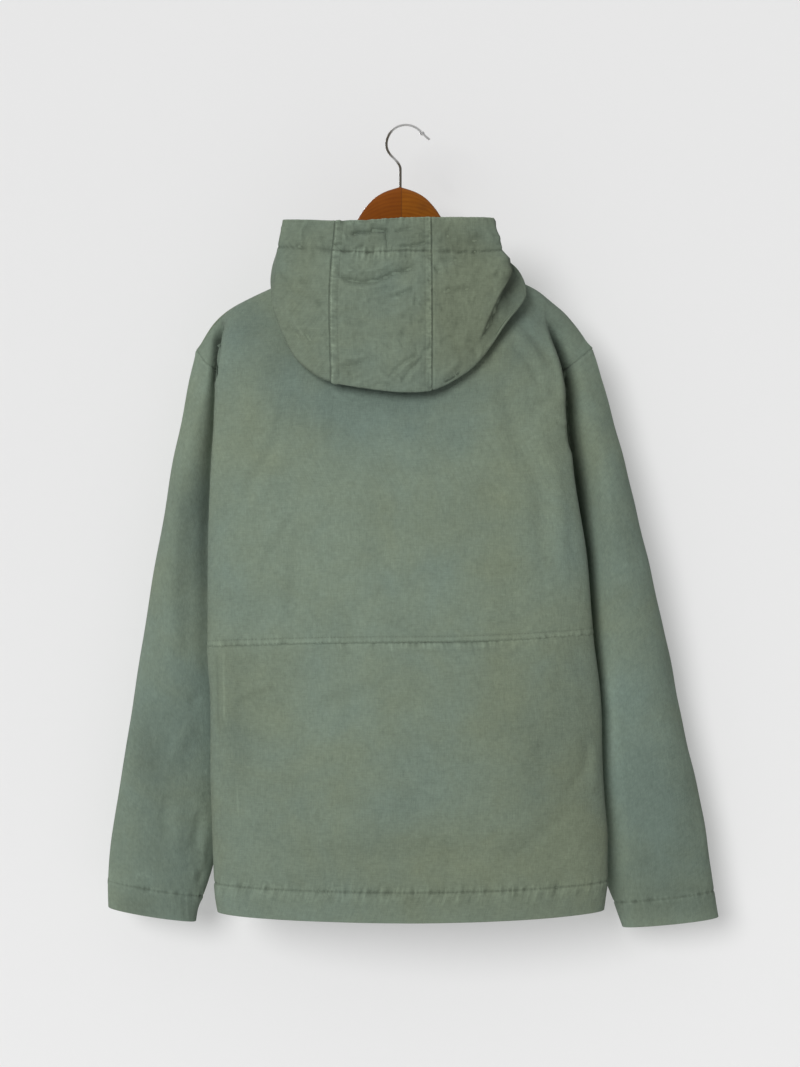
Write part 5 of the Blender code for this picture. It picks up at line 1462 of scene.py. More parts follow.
# painted shade along the waist seam and its topstitching and in the creases beside the folded edges, painted light on
# the band between the seam and the topstitching, paler puckers as rubbed cloth and painted light, two small pale marks,
# and the back's patches of painted light and shade
wear_and_shading_map = (patches(BACK_PAINTED_LIGHT_AND_SHADE, X, Y) + seam_puck * 0.35 - 0.35 * firm * np.exp(-(up / 0.9) ** 2) - 0.18 * np.exp(-((up - 7.2) / 0.9) ** 2)
            + 0.05 * np.exp(-((up - 3.5) / 2.0) ** 2)
            + strokes(CREASE_PAINTED_SHADE, X, Y) * smooth(N[..., 1] / 0.2)
            + strokes(((((338, 506), (340, 512)), 0.9, 0.2, 0.3), (((362, 526), (363.5, 531)), 0.8, 0.25, 0.3)), X, Y))
back_upper, outer = cloth_shell("back_upper_cloth", P, N, h, np.clip(wear_and_shading_map, -1, 1), CLOTH_MAT,
                                dye=0.05 + patches(BACK_DYE, X, Y))
n_out = surface_normals(outer, N)
STITCHES.run(row_at(outer, up, 7.2), row_at(n_out, up, 7.2), 2.9, 0.9, 0.31)
STITCHES.run(row_at(outer, up, 1.6), row_at(n_out, up, 1.6), 2.9, 0.9, 0.28)
size_upper = (np.linalg.norm(np.diff(outer, axis=1), axis=2).sum(axis=1).mean() * MM,
              np.linalg.norm(np.diff(outer, axis=0), axis=2).sum(axis=0).mean() * MM)

# ---- the fronts ----------------------------------------------------------------------
FRONT_FOLDS = {
    "left": (
        (((60, 330), (90, 400), (110, 480)), 16, -2.0, 0.3), (((84, 320), (116, 395), (134, 470)), 14, 1.8, 0.3),
        (((170, 420), (150, 500), (142, 590)), 14, -2.0, 0.3), (((30, 520), (40, 620), (34, 720)), 16, 1.5, 0.3),
        (((110, 600), (96, 700), (104, 800)), 18, -1.8, 0.3), (((150, 640), (142, 740), (150, 850)), 14, 1.5, 0.3),
        (((40, 800), (80, 840), (120, 900)), 16, -1.2, 0.3), (((190, 470), (196, 540), (188, 620)), 9, 1.2, 0.3),
        (((22, 300), (46, 350), (58, 420)), 8, 1.0, 0.3), (((120, 540), (150, 560), (176, 600)), 7, -1.0, 0.3)),
    "right": (
        (((-50, 330), (-84, 400), (-96, 490)), 16, -2.2, 0.3), (((-76, 320), (-104, 395), (-116, 460)), 13, 1.6, 0.3),
        (((-140, 440), (-128, 520), (-120, 600)), 13, -1.8, 0.3), (((-20, 540), (-34, 640), (-28, 740)), 16, 1.4, 0.3),
        (((-90, 620), (-80, 720), (-96, 820)), 17, -1.6, 0.3), (((-150, 620), (-140, 720), (-150, 830)), 13, 1.5, 0.3),
        (((-50, 780), (-90, 830), (-130, 880)), 15, -1.3, 0.3), (((-170, 490), (-176, 560), (-170, 640)), 9, 1.1, 0.3),
        (((-14, 300), (-36, 350), (-44, 410)), 8, 1.0, 0.3), (((-110, 520), (-140, 548), (-160, 590)), 7, -1.0, 0.3))}
front_pieces, front_sizes, front_edges = {}, {}, {}
for side, s in SIGN.items():
    P0, N0 = panels["front", side], normals["front", side]
    rows = places(lengths(P0, 0), 3.4, ((HEM_DEEP, 8, 1.8), (1, 3, 1.5)))
    cols = places(lengths(P0, 1), 3.0, ((1, 3, 1.0), (8, 4, 1.4)))
    P, N = refine(P0, rows, cols), refine(N0, rows, cols)
    N /= np.linalg.norm(N, axis=2)[..., None]
    up, across = along_rows(P), along_cols(P)
    tall = up[-1].mean()
    face = smooth((-N[..., 1] - 0.05) / 0.4)
    fx, fy = front_drawing(P)
    keep = smooth((across - 6) / 24)          # the zip edge stays straight
    h = (waves(P, 31 + int(s), 170, 1.6) * keep + 1.9 * strokes(FRONT_FOLDS[side], fx, fy) * face * keep)
    hem_t = up - HEM_DEEP
    hem_puck = puckers(across, hem_t, across[:, -1].mean(), 5.0, 5.0, 1.1, 33 + int(s)) * keep
    edge_puck = puckers(up, across - 8, tall, 6.5, 4.5, 0.7, 36 + int(s))
    h += (-0.8 * np.exp(-(hem_t / 1.6) ** 2) + 0.3 * smooth((2 - hem_t) / 3)) * smooth((across - 3) / 6) + hem_puck
    h += edge_puck * smooth(across / 4) - 0.35 * np.exp(-((across - 8) / 1.2) ** 2) + 0.15 * np.exp(-((across - 4) / 3) ** 2)
    # painted shade in the hem and zip-edge stitch lines, paler puckers as rubbed cloth and painted light, and paler at
    # the zip edge and the hem edge
    wear_and_shading_map = (hem_puck * 0.4 + edge_puck * 0.45 - 0.3 * np.exp(-(hem_t / 1.4) ** 2)
                - 0.2 * np.exp(-((across - 8) / 1.0) ** 2) + 0.2 * smooth((1.5 - across) / 1.5)
                + 0.1 * smooth((1.6 - up) / 1.6))
    obj, outer = cloth_shell("front_%s_cloth" % side, P, N, h, np.clip(wear_and_shading_map, -1, 1), CLOTH_MAT,
                             dye=0.1 + waves(P, 38 + int(s), 420, 1.2))
    n_out = surface_normals(outer, N)
    for mm in (1.8, 8.0):
        STITCHES.run(col_at(outer, across, mm)[2:-2], col_at(n_out, across, mm)[2:-2], 2.9, 0.9, 0.31)
    STITCHES.run(row_at(outer, up, HEM_DEEP)[4:], row_at(n_out, up, HEM_DEEP)[4:], 2.9, 0.9, 0.31)
    front_pieces[side] = obj
    front_sizes[side] = (np.linalg.norm(np.diff(outer, axis=1), axis=2).sum(axis=1).mean() * MM,
                         np.linalg.norm(np.diff(outer, axis=0), axis=2).sum(axis=0).mean() * MM)

# ---- the sleeves ----------------------------------------------------------------------
CUFF_DEEP = 32.0
SLEEVE_FOLDS = {
    "left": (
        (((192, 500), (185, 530), (182, 560), (184, 600), (186, 650), (184, 684)), 9, -2.0, 0.25),
        (((170, 560), (168, 600), (170, 640)), 10, 1.2, 0.3),
        (((198, 716), (188, 730), (176, 750), (163, 772)), 7, 1.6, 0.3),
        (((150, 716), (141, 740), (132, 770), (119, 806)), 8, -2.0, 0.25),
        (((160, 730), (152, 755), (142, 785)), 6, 0.9, 0.3),
        (((169, 790), (165, 818), (166, 848)), 5.5, -1.6, 0.3),
        (((180, 800), (178, 830), (180, 860)), 6, 1.2, 0.3),
        (((202, 806), (197, 830), (193, 856)), 5, -1.5, 0.3),
        (((207, 826), (204, 850), (202, 872)), 4, 1.0, 0.3),
        (((124, 872), (118, 880), (112, 884)), 4, 0.5, 0.3),
        (((200, 690), (196, 700), (188, 706)), 6, -1.0, 0.3),
        (((205, 770), (207, 774)), 2.0, 0.6, 0.2),
        (((183.5, 893), (184, 905), (186, 920)), 1.2, -0.8, 0.1),
        (((186.5, 893), (187, 905), (189, 920)), 1.3, 0.5, 0.1),
        (((198, 884), (203, 872)), 2.5, -1.2, 0.2),
        (((192, 880), (196, 868)), 2.5, 0.8, 0.2)),
    "right": (
        (((596, 440), (606, 500), (618, 560)), 12, 1.0, 0.3),
        (((585, 420), (594, 480), (606, 550), (612, 600)), 7, -1.2, 0.3),
        (((640, 500), (652, 560), (662, 620)), 12, 1.2, 0.3),
        (((668, 640), (676, 690), (684, 740)), 10, -1.8, 0.3),
        (((640, 660), (634, 720), (640, 780)), 13, 1.5, 0.3),
        (((610, 700), (616, 760), (622, 820)), 9, -1.4, 0.3),
        (((690, 760), (696, 810), (700, 860)), 8, -1.2, 0.3),
        (((660, 790), (672, 830), (676, 876)), 10, 1.2, 0.3),
        (((640, 810), (650, 850), (652, 884)), 7, -1.0, 0.3),
        (((578, 366), (584, 384), (586, 404)), 5, 0.8, 0.3))}
# painted shade (-) on the sleeves, mostly lower down and beside the body, and painted light (+) along their edges next
# to the body: place, reaches, value
SLEEVE_PAINTED_LIGHT_AND_SHADE = {
    "left": ((186, 525, 13, 48, -0.48), (185, 600, 13, 40, -0.32), (146, 755, 18, 38, -0.26), (150, 852, 22, 30, -0.12),
             (136, 908, 18, 14, -0.26), (205, 640, 8, 40, 0.3), (205, 735, 12, 60, 0.42),
             (204, 825, 13, 46, 0.4), (170, 560, 60, 60, -0.09), (170, 740, 60, 80, -0.31), (165, 850, 60, 60, -0.24), (160, 905, 60, 20, -0.18)),
    "right": ((611, 750, 8, 75, 0.62), (614, 858, 9, 50, 0.6), (613, 528, 15, 46, -0.18), (648, 868, 24, 38, -0.18), (600, 420, 30, 70, -0.06), (640, 640, 50, 110, -0.15), (670, 800, 60, 60, -0.34), (690, 880, 60, 40, -0.32),
              (670, 905, 70, 22, -0.28))}
SLEEVE_DYE = {
    "left": ((205, 560, 20, 60, -0.5), (168, 590, 40, 60, 0.2), (160, 690, 40, 50, -0.25), (180, 760, 50, 60, -0.52),
             (170, 860, 60, 60, -0.55), (208, 700, 20, 60, -0.5), (190, 400, 20, 50, 0.15)),
    "right": ((600, 420, 30, 60, 0.25), (620, 600, 40, 80, -0.05), (650, 780, 50, 90, -0.75), (680, 880, 40, 50, -0.5),
              (630, 720, 30, 50, -0.4))}
sleeve_pieces, sleeve_sizes = {}, {}
for side, s in SIGN.items():
    P0, N0 = panels["sleeve", side], normals["sleeve", side]
    rings_mm = lengths(P0, 0)
    rows = places(rings_mm, 2.9, ((3, 9, 1.7), (rings_mm[-1] - CUFF_DEEP, 9, 1.5), (rings_mm[-1] - 1, 3, 1.2)))
    cols = places(lengths(P0, 1, wrap=True), 2.6, wrap=True)
    P, N = refine(P0, rows, cols, wrap=True), refine(N0, rows, cols, wrap=True)
    N /= np.linalg.norm(N, axis=2)[..., None]
    down, around = along_rows(P), along_cols(P)
    X, Y = drawing(P)
    to_cuff = down[-1][None, :] - down
    girth = around[:, -1].mean()
    face = facing(N)
    h = (waves(P, 41 + int(s), 130, 1.4) * smooth(down / 40)
         + (1.3 * strokes(SLEEVE_FOLDS[side], X, Y)
            + crumple(X, Y, (90, 380, 220, 880) if side == "left" else (560, 380, 720, 890), 70, 85 + int(s), 4.0, 34, 0.4, 1.5)
            + crumple(X, Y, (100, 850, 220, 925) if side == "left" else (600, 860, 730, 930), 40, 87 + int(s), 2.2, 13, 0.4)) * face)
    P[..., 1] -= groove(GROOVE[side], s, X, Y) * smooth((N[..., 1] + 0.1) / 0.3)
    # the same kind of folds on the side that is turned to the front
    fx, fy = front_drawing(P)
    lean = (fx - X0) * s
    front_side = smooth((-N[..., 1] - 0.05) / 0.4)
    h += front_side * smooth(down / 60) * (
        2.6 * np.sin(fy / 44.0 + lean / 30.0 + s) * np.exp(-((fy - 560) / 120.0) ** 2)
        + 2.0 * np.sin(fy / 27.0 - lean / 22.0 + 2 * s) * np.exp(-((fy - 820) / 90.0) ** 2))
    cuff_t = to_cuff - CUFF_DEEP
    cuff_puck = puckers(around, cuff_t, girth, 4.6, 4.6, 1.1, 44 + int(s))
    head_puck = puckers(around, down, girth, 6.0, 9.0, 1.1, 47 + int(s),
                        [(0, 1.0), (0.15, 1.0), (0.3, 0.4), (0.5, 0.1), (0.7, 0.4), (0.85, 0.9), (1, 1.0)], one_side=True)
    h += cuff_puck + head_puck - 0.8 * np.exp(-(cuff_t / 1.5) ** 2) + 0.35 * smooth((2 - cuff_t) / 3)
    h += -0.8 * np.exp(-(down / 1.3) ** 2) + 0.35 * np.exp(-((down - 3.5) / 2.4) ** 2)
    # painted shade in the cuff and armhole seam lines and in the creases beside the folded edges, painted light where
    # the sleeve turns towards its outer side, paler puckers as rubbed cloth and painted light, paler at the cuff's
    # edge, and the sleeve's patches of painted light and shade
    wear_and_shading_map = (patches(SLEEVE_PAINTED_LIGHT_AND_SHADE[side], X, Y) * smooth(face * 4) + strokes(CREASE_PAINTED_SHADE, X, Y) * face
                + 0.3 * smooth((0.95 - N[..., 1]) / 0.7) * face * smooth(N[..., 0] * s * 4) + cuff_puck * 0.4 + head_puck * 0.35 - 0.35 * np.exp(-(cuff_t / 1.3) ** 2)
                - 0.5 * np.exp(-(down / 1.1) ** 2) + 0.12 * smooth((1.6 - to_cuff) / 1.6))
    if side == "left":
        # two small pale marks, and painted shade in a crease at the left cuff
        wear_and_shading_map += strokes(((((134, 877.5), (142, 873.5), (152, 878.5)), 0.9, 0.55, 0.25),
                             (((204, 772.5), (208, 774)), 1.0, 0.5, 0.2),
                             (((184.3, 893), (185, 905), (187, 920)), 0.8, -0.3, 0.1)), X, Y) * face
    obj, outer = cloth_shell("sleeve_%s_cloth" % side, P, N, h, np.clip(wear_and_shading_map, -1, 1), CLOTH_MAT, wrap=True,
                             dye=0.0 + np.where(facing(N) > 0, patches(SLEEVE_DYE[side], X, Y) * facing(N), 0.0))
    n_out = surface_normals(outer, N, wrap=True)
    line = row_at(outer, down, down[-1] - CUFF_DEEP)
    line_n = row_at(n_out, down, down[-1] - CUFF_DEEP)
    close = lambda a: np.concatenate([a, a[:1]])
    STITCHES.run(close(line), close(line_n), 2.9, 0.9, 0.31)
    sleeve_pieces[side] = obj
    sleeve_sizes[side] = (girth * MM, down[-1].mean() * MM)

# ---- the hood ---------------------------------------------------------------------------
CASING = ((0.0, 9), (0.09, 10), (0.18, 13), (0.26, 20), (0.30, 28), (0.34, 33), (0.38, 35), (0.42, 38),
          (0.46, 41.5), (0.54, 43), (0.58, 43), (0.62, 43), (0.66, 42), (0.70, 30), (0.74, 22),
          (0.82, 13), (0.91, 10), (1.0, 9))


def hood_rows(u, counts):
    """Points of the hood's section at u: free edge, outer layer, bottom fold, inner layer, neck."""
    E, M, B, R = (hood_guides[k](u) for k in "EMBR")
    Nk = hood_neck(u)
    d1, d2 = unit(M - B), unit(R - B)
    k = smooth((0.22 - abs(u - 0.5)) / 0.06)
    p = unit((1 - k) * unit(d1 - d2) + k * np.array([0, 1.0, 0]))
    apart = (1 - k) * 5.0 * max(0.0, float(np.dot(d1, d2))) + k * 4.5
    near = min(12.0, 0.35 * np.linalg.norm(M - B), 0.35 * np.linalg.norm(R - B))
    B1 = B + near * d1 + apart * p * near / 12 * (1 - 0.6 * k)
    B2 = B + near * d2 - apart * p * near / 12
    pts = np.array([E, M, B1, B, B2, R, Nk])
    knots = np.concatenate([[0], np.cumsum(np.sqrt(np.linalg.norm(np.diff(pts, axis=0), axis=1)))])
    ghost = np.vstack([2 * pts[0] - pts[1], pts, 2 * pts[-1] - pts[-2]])
    gk = np.concatenate([[knots[0] - (knots[1] - knots[0])], knots, [knots[-1] * 2 - knots[-2]]])
    t = np.linspace(knots[0], knots[-1], 241)
    i = np.clip(np.searchsorted(knots, t) - 1, 0, len(knots) - 2)
    t0, t1, t2, t3 = (gk[i + n][:, None] for n in range(4))
    p0, p1, p2, p3 = (ghost[i + n] for n in range(4))
    t = t[:, None]
    a1 = (t1 - t) / (t1 - t0) * p0 + (t - t0) / (t1 - t0) * p1
    a2 = (t2 - t) / (t2 - t1) * p1 + (t - t1) / (t2 - t1) * p2
    a3 = (t3 - t) / (t3 - t2) * p2 + (t - t2) / (t3 - t2) * p3
    b1 = (t2 - t) / (t2 - t0) * a1 + (t - t0) / (t2 - t0) * a2
    b2 = (t3 - t) / (t3 - t1) * a2 + (t - t1) / (t3 - t1) * a3
    line = (t2 - t) / (t2 - t1) * b1 + (t - t1) / (t2 - t1) * b2
    s = np.concatenate([[0], np.cumsum(np.linalg.norm(np.diff(line, axis=0), axis=1))])
    at_B = np.interp(knots[3], t[:, 0], s)
    first, second = counts
    want = np.concatenate([np.linspace(0, at_B, first + 1), np.linspace(at_B, s[-1], second + 1)[1:]])
    return np.stack([np.interp(want, s, line[:, k]) for k in range(3)], axis=1)


HOOD_FIRST, HOOD_SECOND = 48, 27
fine_u = np.linspace(0, 1, 121)
H = np.array([hood_rows(u, (HOOD_FIRST, HOOD_SECOND)) for u in fine_u]).transpose(1, 0, 2)
HN = shared_normals({"hood": (H, 1, False)})["hood"]

HOOD_FOLDS = (
    # the dark wavy crease under the top edge and the cloth around it
    (((350, 236), (360, 231.8), (370, 231.6), (374, 229.6), (391, 230.6)), 2.2, -1.9, 0.15),
    (((394, 232), (403, 229.6), (414, 228)), 1.9, -1.1, 0.2),
    (((340, 230), (345, 237), (343, 243)), 3.2, 0.9, 0.3),
    (((364, 238), (378, 236.5), (388, 238)), 3.0, 1.1, 0.3),
    (((408, 236), (418, 233), (426, 232)), 3.0, 1.0, 0.3),
    (((352, 226), (372, 224), (392, 225)), 2.6, 0.8, 0.3),
    (((352, 249), (360, 247), (366, 243)), 2.0, -1.0, 0.25),
    (((386, 226), (387, 240), (388, 252)), 1.4, -0.9, 0.2),
    (((396, 245.5), (405, 246), (413, 245), (430, 241)), 1.8, -1.1, 0.2),
    (((396, 249), (410, 249), (428, 246)), 1.8, 0.7, 0.3),
    (((334, 242), (338, 247), (345, 252)), 1.8, -0.9, 0.25),
    # below the casing
    (((334, 272), (340, 275.5), (349, 279), (364, 281.5), (378, 279.5), (392, 273.5), (404, 270), (421, 263)), 3.4, -2.0, 0.16),
    (((338, 268), (350, 271), (364, 272), (378, 270), (392, 264), (404, 260)), 2.6, 1.5, 0.25),
    (((342, 286), (358, 289), (376, 287), (396, 281)), 4.5, 0.9, 0.3),
    (((386, 298), (400, 294.5), (409, 291), (418, 287)), 2.2, -1.0, 0.25),
    (((386, 293), (400, 290), (414, 284)), 2.4, 0.8, 0.3),
    (((378, 304), (390, 301)), 2.0, -0.4, 0.3),
    (((346, 326), (356, 325), (368, 321)), 4.0, -0.8, 0.35),
    (((388, 318), (402, 312), (414, 304)), 6.0, 0.6, 0.35),
    (((335, 364), (347, 366.5), (358, 364), (368, 361)), 3.5, -1.3, 0.3),
    (((338, 357), (352, 359), (368, 354)), 4.0, 0.8, 0.3),
    (((384, 381), (391, 374), (399, 367), (413, 357), (427, 349)), 2.6, -0.95, 0.3),
    (((400, 384), (406, 376), (411, 369), (421, 362)), 2.2, -0.8, 0.3),
    (((392, 380), (399, 372), (408, 364), (420, 355)), 2.6, 0.8, 0.3),
    (((408, 382), (415, 372), (424, 364)), 2.4, 0.6, 0.3),
    (((414, 366), (420, 360), (424, 354)), 1.5, -0.8, 0.25),
    (((372, 386), (382, 383), (392, 386)), 1.8, -0.7, 0.3),
    (((352, 384), (364, 381), (374, 378)), 2.0, 0.6, 0.3),
    # right panel
    (((434, 266), (437, 270), (440, 274)), 1.8, -1.4, 0.2),
    (((439, 264), (443, 268), (447, 274)), 2.6, 0.9, 0.3),
    (((436, 292), (446, 291.5), (458, 290.5), (474, 287)), 2.4, -1.1, 0.3),
    (((436, 287), (450, 286), (468, 281)), 2.8, 0.7, 0.3),
    (((455, 310), (457, 322), (457.5, 334)), 5.0, -0.55, 0.35),
    (((468, 320), (466, 336), (458, 350)), 6.0, 0.8, 0.35),
    (((466, 246), (476, 239), (487, 230)), 3.0, -1.1, 0.3),
    (((436, 236), (444, 231), (451, 222)), 2.0, 1.0, 0.25),
    (((438, 242), (446, 238), (452, 232)), 1.8, -0.8, 0.25),
    (((438, 260), (450, 261), (462, 258)), 2.0, -0.8, 0.3),
    (((474, 284), (484, 279), (498, 268)), 4.0, 0.7, 0.35),
    (((470, 300), (484, 298), (498, 286)), 5.0, -0.7, 0.35),
    (((438, 376), (450, 369), (462, 358)), 3.4, 0.9, 0.3),
    (((438, 384), (452, 377), (466, 366)), 2.6, -1.0, 0.3),
    (((483, 345), (481, 352), (476, 362)), 3.0, 0.8, 0.3),
    # left panel
    (((310, 222), (302, 230), (301, 238), (303, 246)), 1.8, 0.8, 0.25),
    (((296, 277), (304, 281), (312, 286)), 3.0, -0.8, 0.3),
    (((315, 300), (322, 306), (327, 312)), 3.0, -0.6, 0.3),
    (((283, 300), (292, 318), (306, 338)), 7.0, 0.8, 0.35),
    (((288, 322), (294, 332), (302, 340)), 2.2, -0.8, 0.3),
    (((298, 326), (304, 336), (312, 346)), 2.2, 0.7, 0.3),
    (((303, 330), (311, 341), (318, 350)), 2.2, -0.7, 0.3),
    (((312, 340), (318, 350), (322, 358)), 2.0, 0.6, 0.3),
    (((279, 262), (286, 280), (290, 298)), 6.0, -0.5, 0.35),
    (((306, 262), (312, 270), (322, 276)), 4.0, 0.5, 0.35),
    (((322, 232), (326, 242), (334, 248)), 2.6, -0.8, 0.3),
)
# the upper layer ends in a fold and the layer under it shows to the right of it
HOOD_LAYERS = ((((503, 248), (507.5, 260), (508.5, 273), (506, 284), (498.5, 299), (490, 318), (484, 332), (477, 347)),
                12.0, 26.0, 20.0, 1.2),)


# painted shade on the hood's cloth, deepest beside the fold of the right panel's upper layer: place, reaches, value
HOOD_PAINTED_SHADE = ((507, 294, 7, 26, -0.55), (517, 284, 9, 22, -0.25), (494, 326, 7, 16, -0.3), (470, 330, 40, 60, -0.22), (380, 236, 90, 16, -0.16), (468, 240, 48, 22, -0.26), (480, 276, 16, 20, -0.16), (300, 300, 40, 60, -0.06),
             (515, 290, 16, 40, -0.1))
HOOD_DYE = ((300, 290, 34, 70, 0.45), (336, 330, 30, 60, 0.1), (390, 290, 40, 50, -0.3), (400, 350, 40, 30, 0.2),
            (462, 330, 34, 60, 0.75), (478, 285, 30, 40, 0.35), (450, 235, 30, 20, 0.2), (384, 290, 14, 20, -0.3))


def hood_piece(name, u0, u1, spacing_cols, seams, seed, fine_cols=()):
    sub = np.linspace(u0, u1, max(int((u1 - u0) * 120), 12) + 1)
    at = np.interp(sub, fine_u, np.arange(len(fine_u)))
    base, base_n = refine(H, np.arange(H.shape[0]), at), refine(HN, np.arange(H.shape[0]), at)
    cols = places(lengths(base, 1), spacing_cols, fine_cols)
    dist = lengths(base, 0)
    rows = places(dist, 1.7, ((34, 15, 1.0), (1, 3, 1.0), (dist[HOOD_FIRST], 8, 1.1)))
    P, N = refine(base, rows, cols), refine(base_n, rows, cols)
    N /= np.linalg.norm(N, axis=2)[..., None]
    u = np.interp(cols, np.arange(len(sub)), sub)
    down, across = along_rows(P), along_cols(P)
    X, Y = drawing(P)
    row_of_fold = np.interp(HOOD_FIRST, rows, np.arange(len(rows)))
    outer_layer = smooth((row_of_fold + 1 - np.arange(len(rows))) / 3)[:, None]
    face = facing(N) * outer_layer
    cas = np.interp(u, [a for a, _ in CASING], [b for _, b in CASING])[None, :]
    ct = down - cas
    wide = across[:, -1].mean()
    creases = strokes(HOOD_FOLDS, X, Y, crisp=True)
    wrinkles = crumple(X, Y, (275, 222, 520, 395), 560, 90, 1.5, 13, 1.0)
    lift = (waves(P, seed, 90, 0.8) * outer_layer + 2.7 * creases * face
            + wrinkles * face
            + crumple(X, Y, (275, 222, 520, 395), 130, 91, 2.8, 26, 0.9) * face)
    lift += steps(HOOD_LAYERS, X, Y) * face if "right" in name else 0.0
    top = puckers(across, down, wide, 4.6, 6.5, 1.15, seed + 1, seams["top"], one_side=True)
    cas_puck = puckers(across, ct, wide, 4.4, 6.0, 1.35, seed + 2, seams["casing"])
    puck = (top + cas_puck) * (0.4 + 0.6 * face)
    if "below" in seams:
        puck = puck + puckers(across, ct - 6, wide, 4.3, 6.5, 1.15, seed + 3, seams["below"], lean=0.1) * face
    lift += -1.0 * np.exp(-(ct / 1.7) ** 2) * outer_layer
    shade = (patches(HOOD_PAINTED_SHADE, X, Y) * outer_layer - 0.18 + 0.13 * creases * face + 0.10 * wrinkles * face + puck * 0.4
             - 0.62 * np.exp(-(ct / 1.35) ** 2) * outer_layer) 
    shade += 0.22 * smooth((1.4 - down) / 1.4)
    tall = down[-1].mean()
    edges = []
    if seams.get("start"):
        edges.append((across, seams["start"], seed + 5))
    if seams.get("end"):
        edges.append((across[:, -1:] - across, seams["end"], seed + 6))
    for away, (reach, height, fell), sd in edges:
        q = (puckers(down, away - reach * 0.45, tall, 4.2, reach * 0.5, 1.15 * height, sd, lean=0.5)
             + puckers(down, away - reach * 0.2, tall, 2.9, reach * 0.3, 0.7 * height, sd + 20, lean=0.5))
        q *= smooth((away + 0.5) / 2.0)
        puck = puck + q
        shade = shade + q * 0.45
        lift += -0.75 * np.exp(-(away / 0.9) ** 2) + fell * np.exp(-((away - reach / 2) / (reach * 0.45)) ** 2)
        if fell > 0:
            lift += -0.35 * np.exp(-((away - reach) / 1.0) ** 2)
            shade -= 0.15 * np.exp(-((away - reach) / 1.0) ** 2)
        shade -= 0.5 * np.exp(-(away / 0.8) ** 2)
        shade += (0.4 if fell > 0 else 0.1) * np.exp(-((away - 2.1) / 0.7) ** 2)
    lift = lift + puck
    obj, outer = cloth_shell(name, P, N, lift, np.clip(shade, -1, 1), CLOTH_MAT,
                             dye=patches(HOOD_DYE, X, Y) * outer_layer)
    n_out = surface_normals(outer, N)
    for extra in (0.0,):
        STITCHES.run(row_at(outer, down, cas[0] + extra), row_at(n_out, down, cas[0] + extra), 2.8, 0.8, 0.3)
    STITCHES.run(row_at(outer, down, 2.2), row_at(n_out, down, 2.2), 2.8, 0.8, 0.28)
    for away, (reach, height, fell), _ in edges:
        if fell > 0:
            rev = away is not across
            cols_line = []
            for i in range(outer.shape[0]):
                order = slice(None, None, -1) if rev else slice(None)
                cols_line.append([np.interp(reach, away[i, order], outer[i, order, k]) for k in range(3)]
                                 + [np.interp(reach, away[i, order], n_out[i, order, k]) for k in range(3)])
            cols_line = np.array(cols_line)[1:-2]
            STITCHES.run(cols_line[:, :3], cols_line[:, 3:], 2.8, 0.8, 0.3)
            near_edge = []
            for i in range(outer.shape[0]):
                order = slice(None, None, -1) if rev else slice(None)
                near_edge.append([np.interp(1.5, away[i, order], outer[i, order, k]) for k in range(3)]
                                 + [np.interp(1.5, away[i, order], n_out[i, order, k]) for k in range(3)])
            near_edge = np.array(near_edge)[1:-2]
            STITCHES.run(near_edge[:, :3], near_edge[:, 3:], 2.8, 0.8, 0.26)
    return obj, (wide * MM, tall * MM)


EVEN = [(0, 1.0), (1, 1.0)]
hood_left, size_hl = hood_piece(
    "hood_left_cloth", 0.0, 0.42, 1.9,
    dict(top=[(0, 0.4), (0.7, 0.3), (0.9, 0.4), (1, 0.8)], casing=[(0, 0.15), (0.7, 0.15), (0.9, 0.4), (1, 0.9)],
         end=(3.0, 0.35, 0.0)), 51)
hood_centre, size_hc = hood_piece(
    "hood_centre_cloth", 0.42, 0.58, 1.15,
    dict(top=EVEN, casing=[(0, 0.8), (0.2, 1.2), (0.55, 1.1), (0.8, 0.7), (1, 0.8)],
         below=[(0, 0.4), (0.15, 0.9), (0.3, 1.2), (0.6, 1.1), (0.7, 0.5), (1, 0.3)],
         start=(9.5, 0.85, 0.5), end=(8.5, 0.95, 0.5)), 61)
hood_right, size_hr = hood_piece(
    "hood_right_cloth", 0.58, 1.0, 1.6,
    dict(top=[(0, 0.9), (0.25, 0.6), (0.35, 0.4), (1, 0.4)], casing=[(0, 0.8), (0.15, 0.5), (0.3, 0.2), (1, 0.15)],
         start=(3.0, 0.45, 0.0)), 71)

stitches = STITCHES.make("parka_stitches", THREAD_MAT)

# every shell stands for its solid and moves with the coat
cloth = {
    back_lower: ("back_lower", size_lower, "hung", ["back_upper"]),
    back_upper: ("back_upper", size_upper, "hung", ["hanger_wood"]),
    front_pieces["left"]: ("front_left", front_sizes["left"], "hung", ["hanger_wood"]),
    front_pieces["right"]: ("front_right", front_sizes["right"], "hung", ["hanger_wood"]),
    sleeve_pieces["left"]: ("sleeve_left", sleeve_sizes["left"], "hung", ["back_upper"]),
    sleeve_pieces["right"]: ("sleeve_right", sleeve_sizes["right"], "hung", ["back_upper"]),
    hood_left: ("hood_left", size_hl, "folded", ["back_upper"]),
    hood_centre: ("hood_centre", size_hc, "folded", ["back_upper"]),
    hood_right: ("hood_right", size_hr, "folded", ["back_upper"]),
}
for obj, (name, size, held, rests) in cloth.items():
    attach(obj, "coat")
    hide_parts(name)


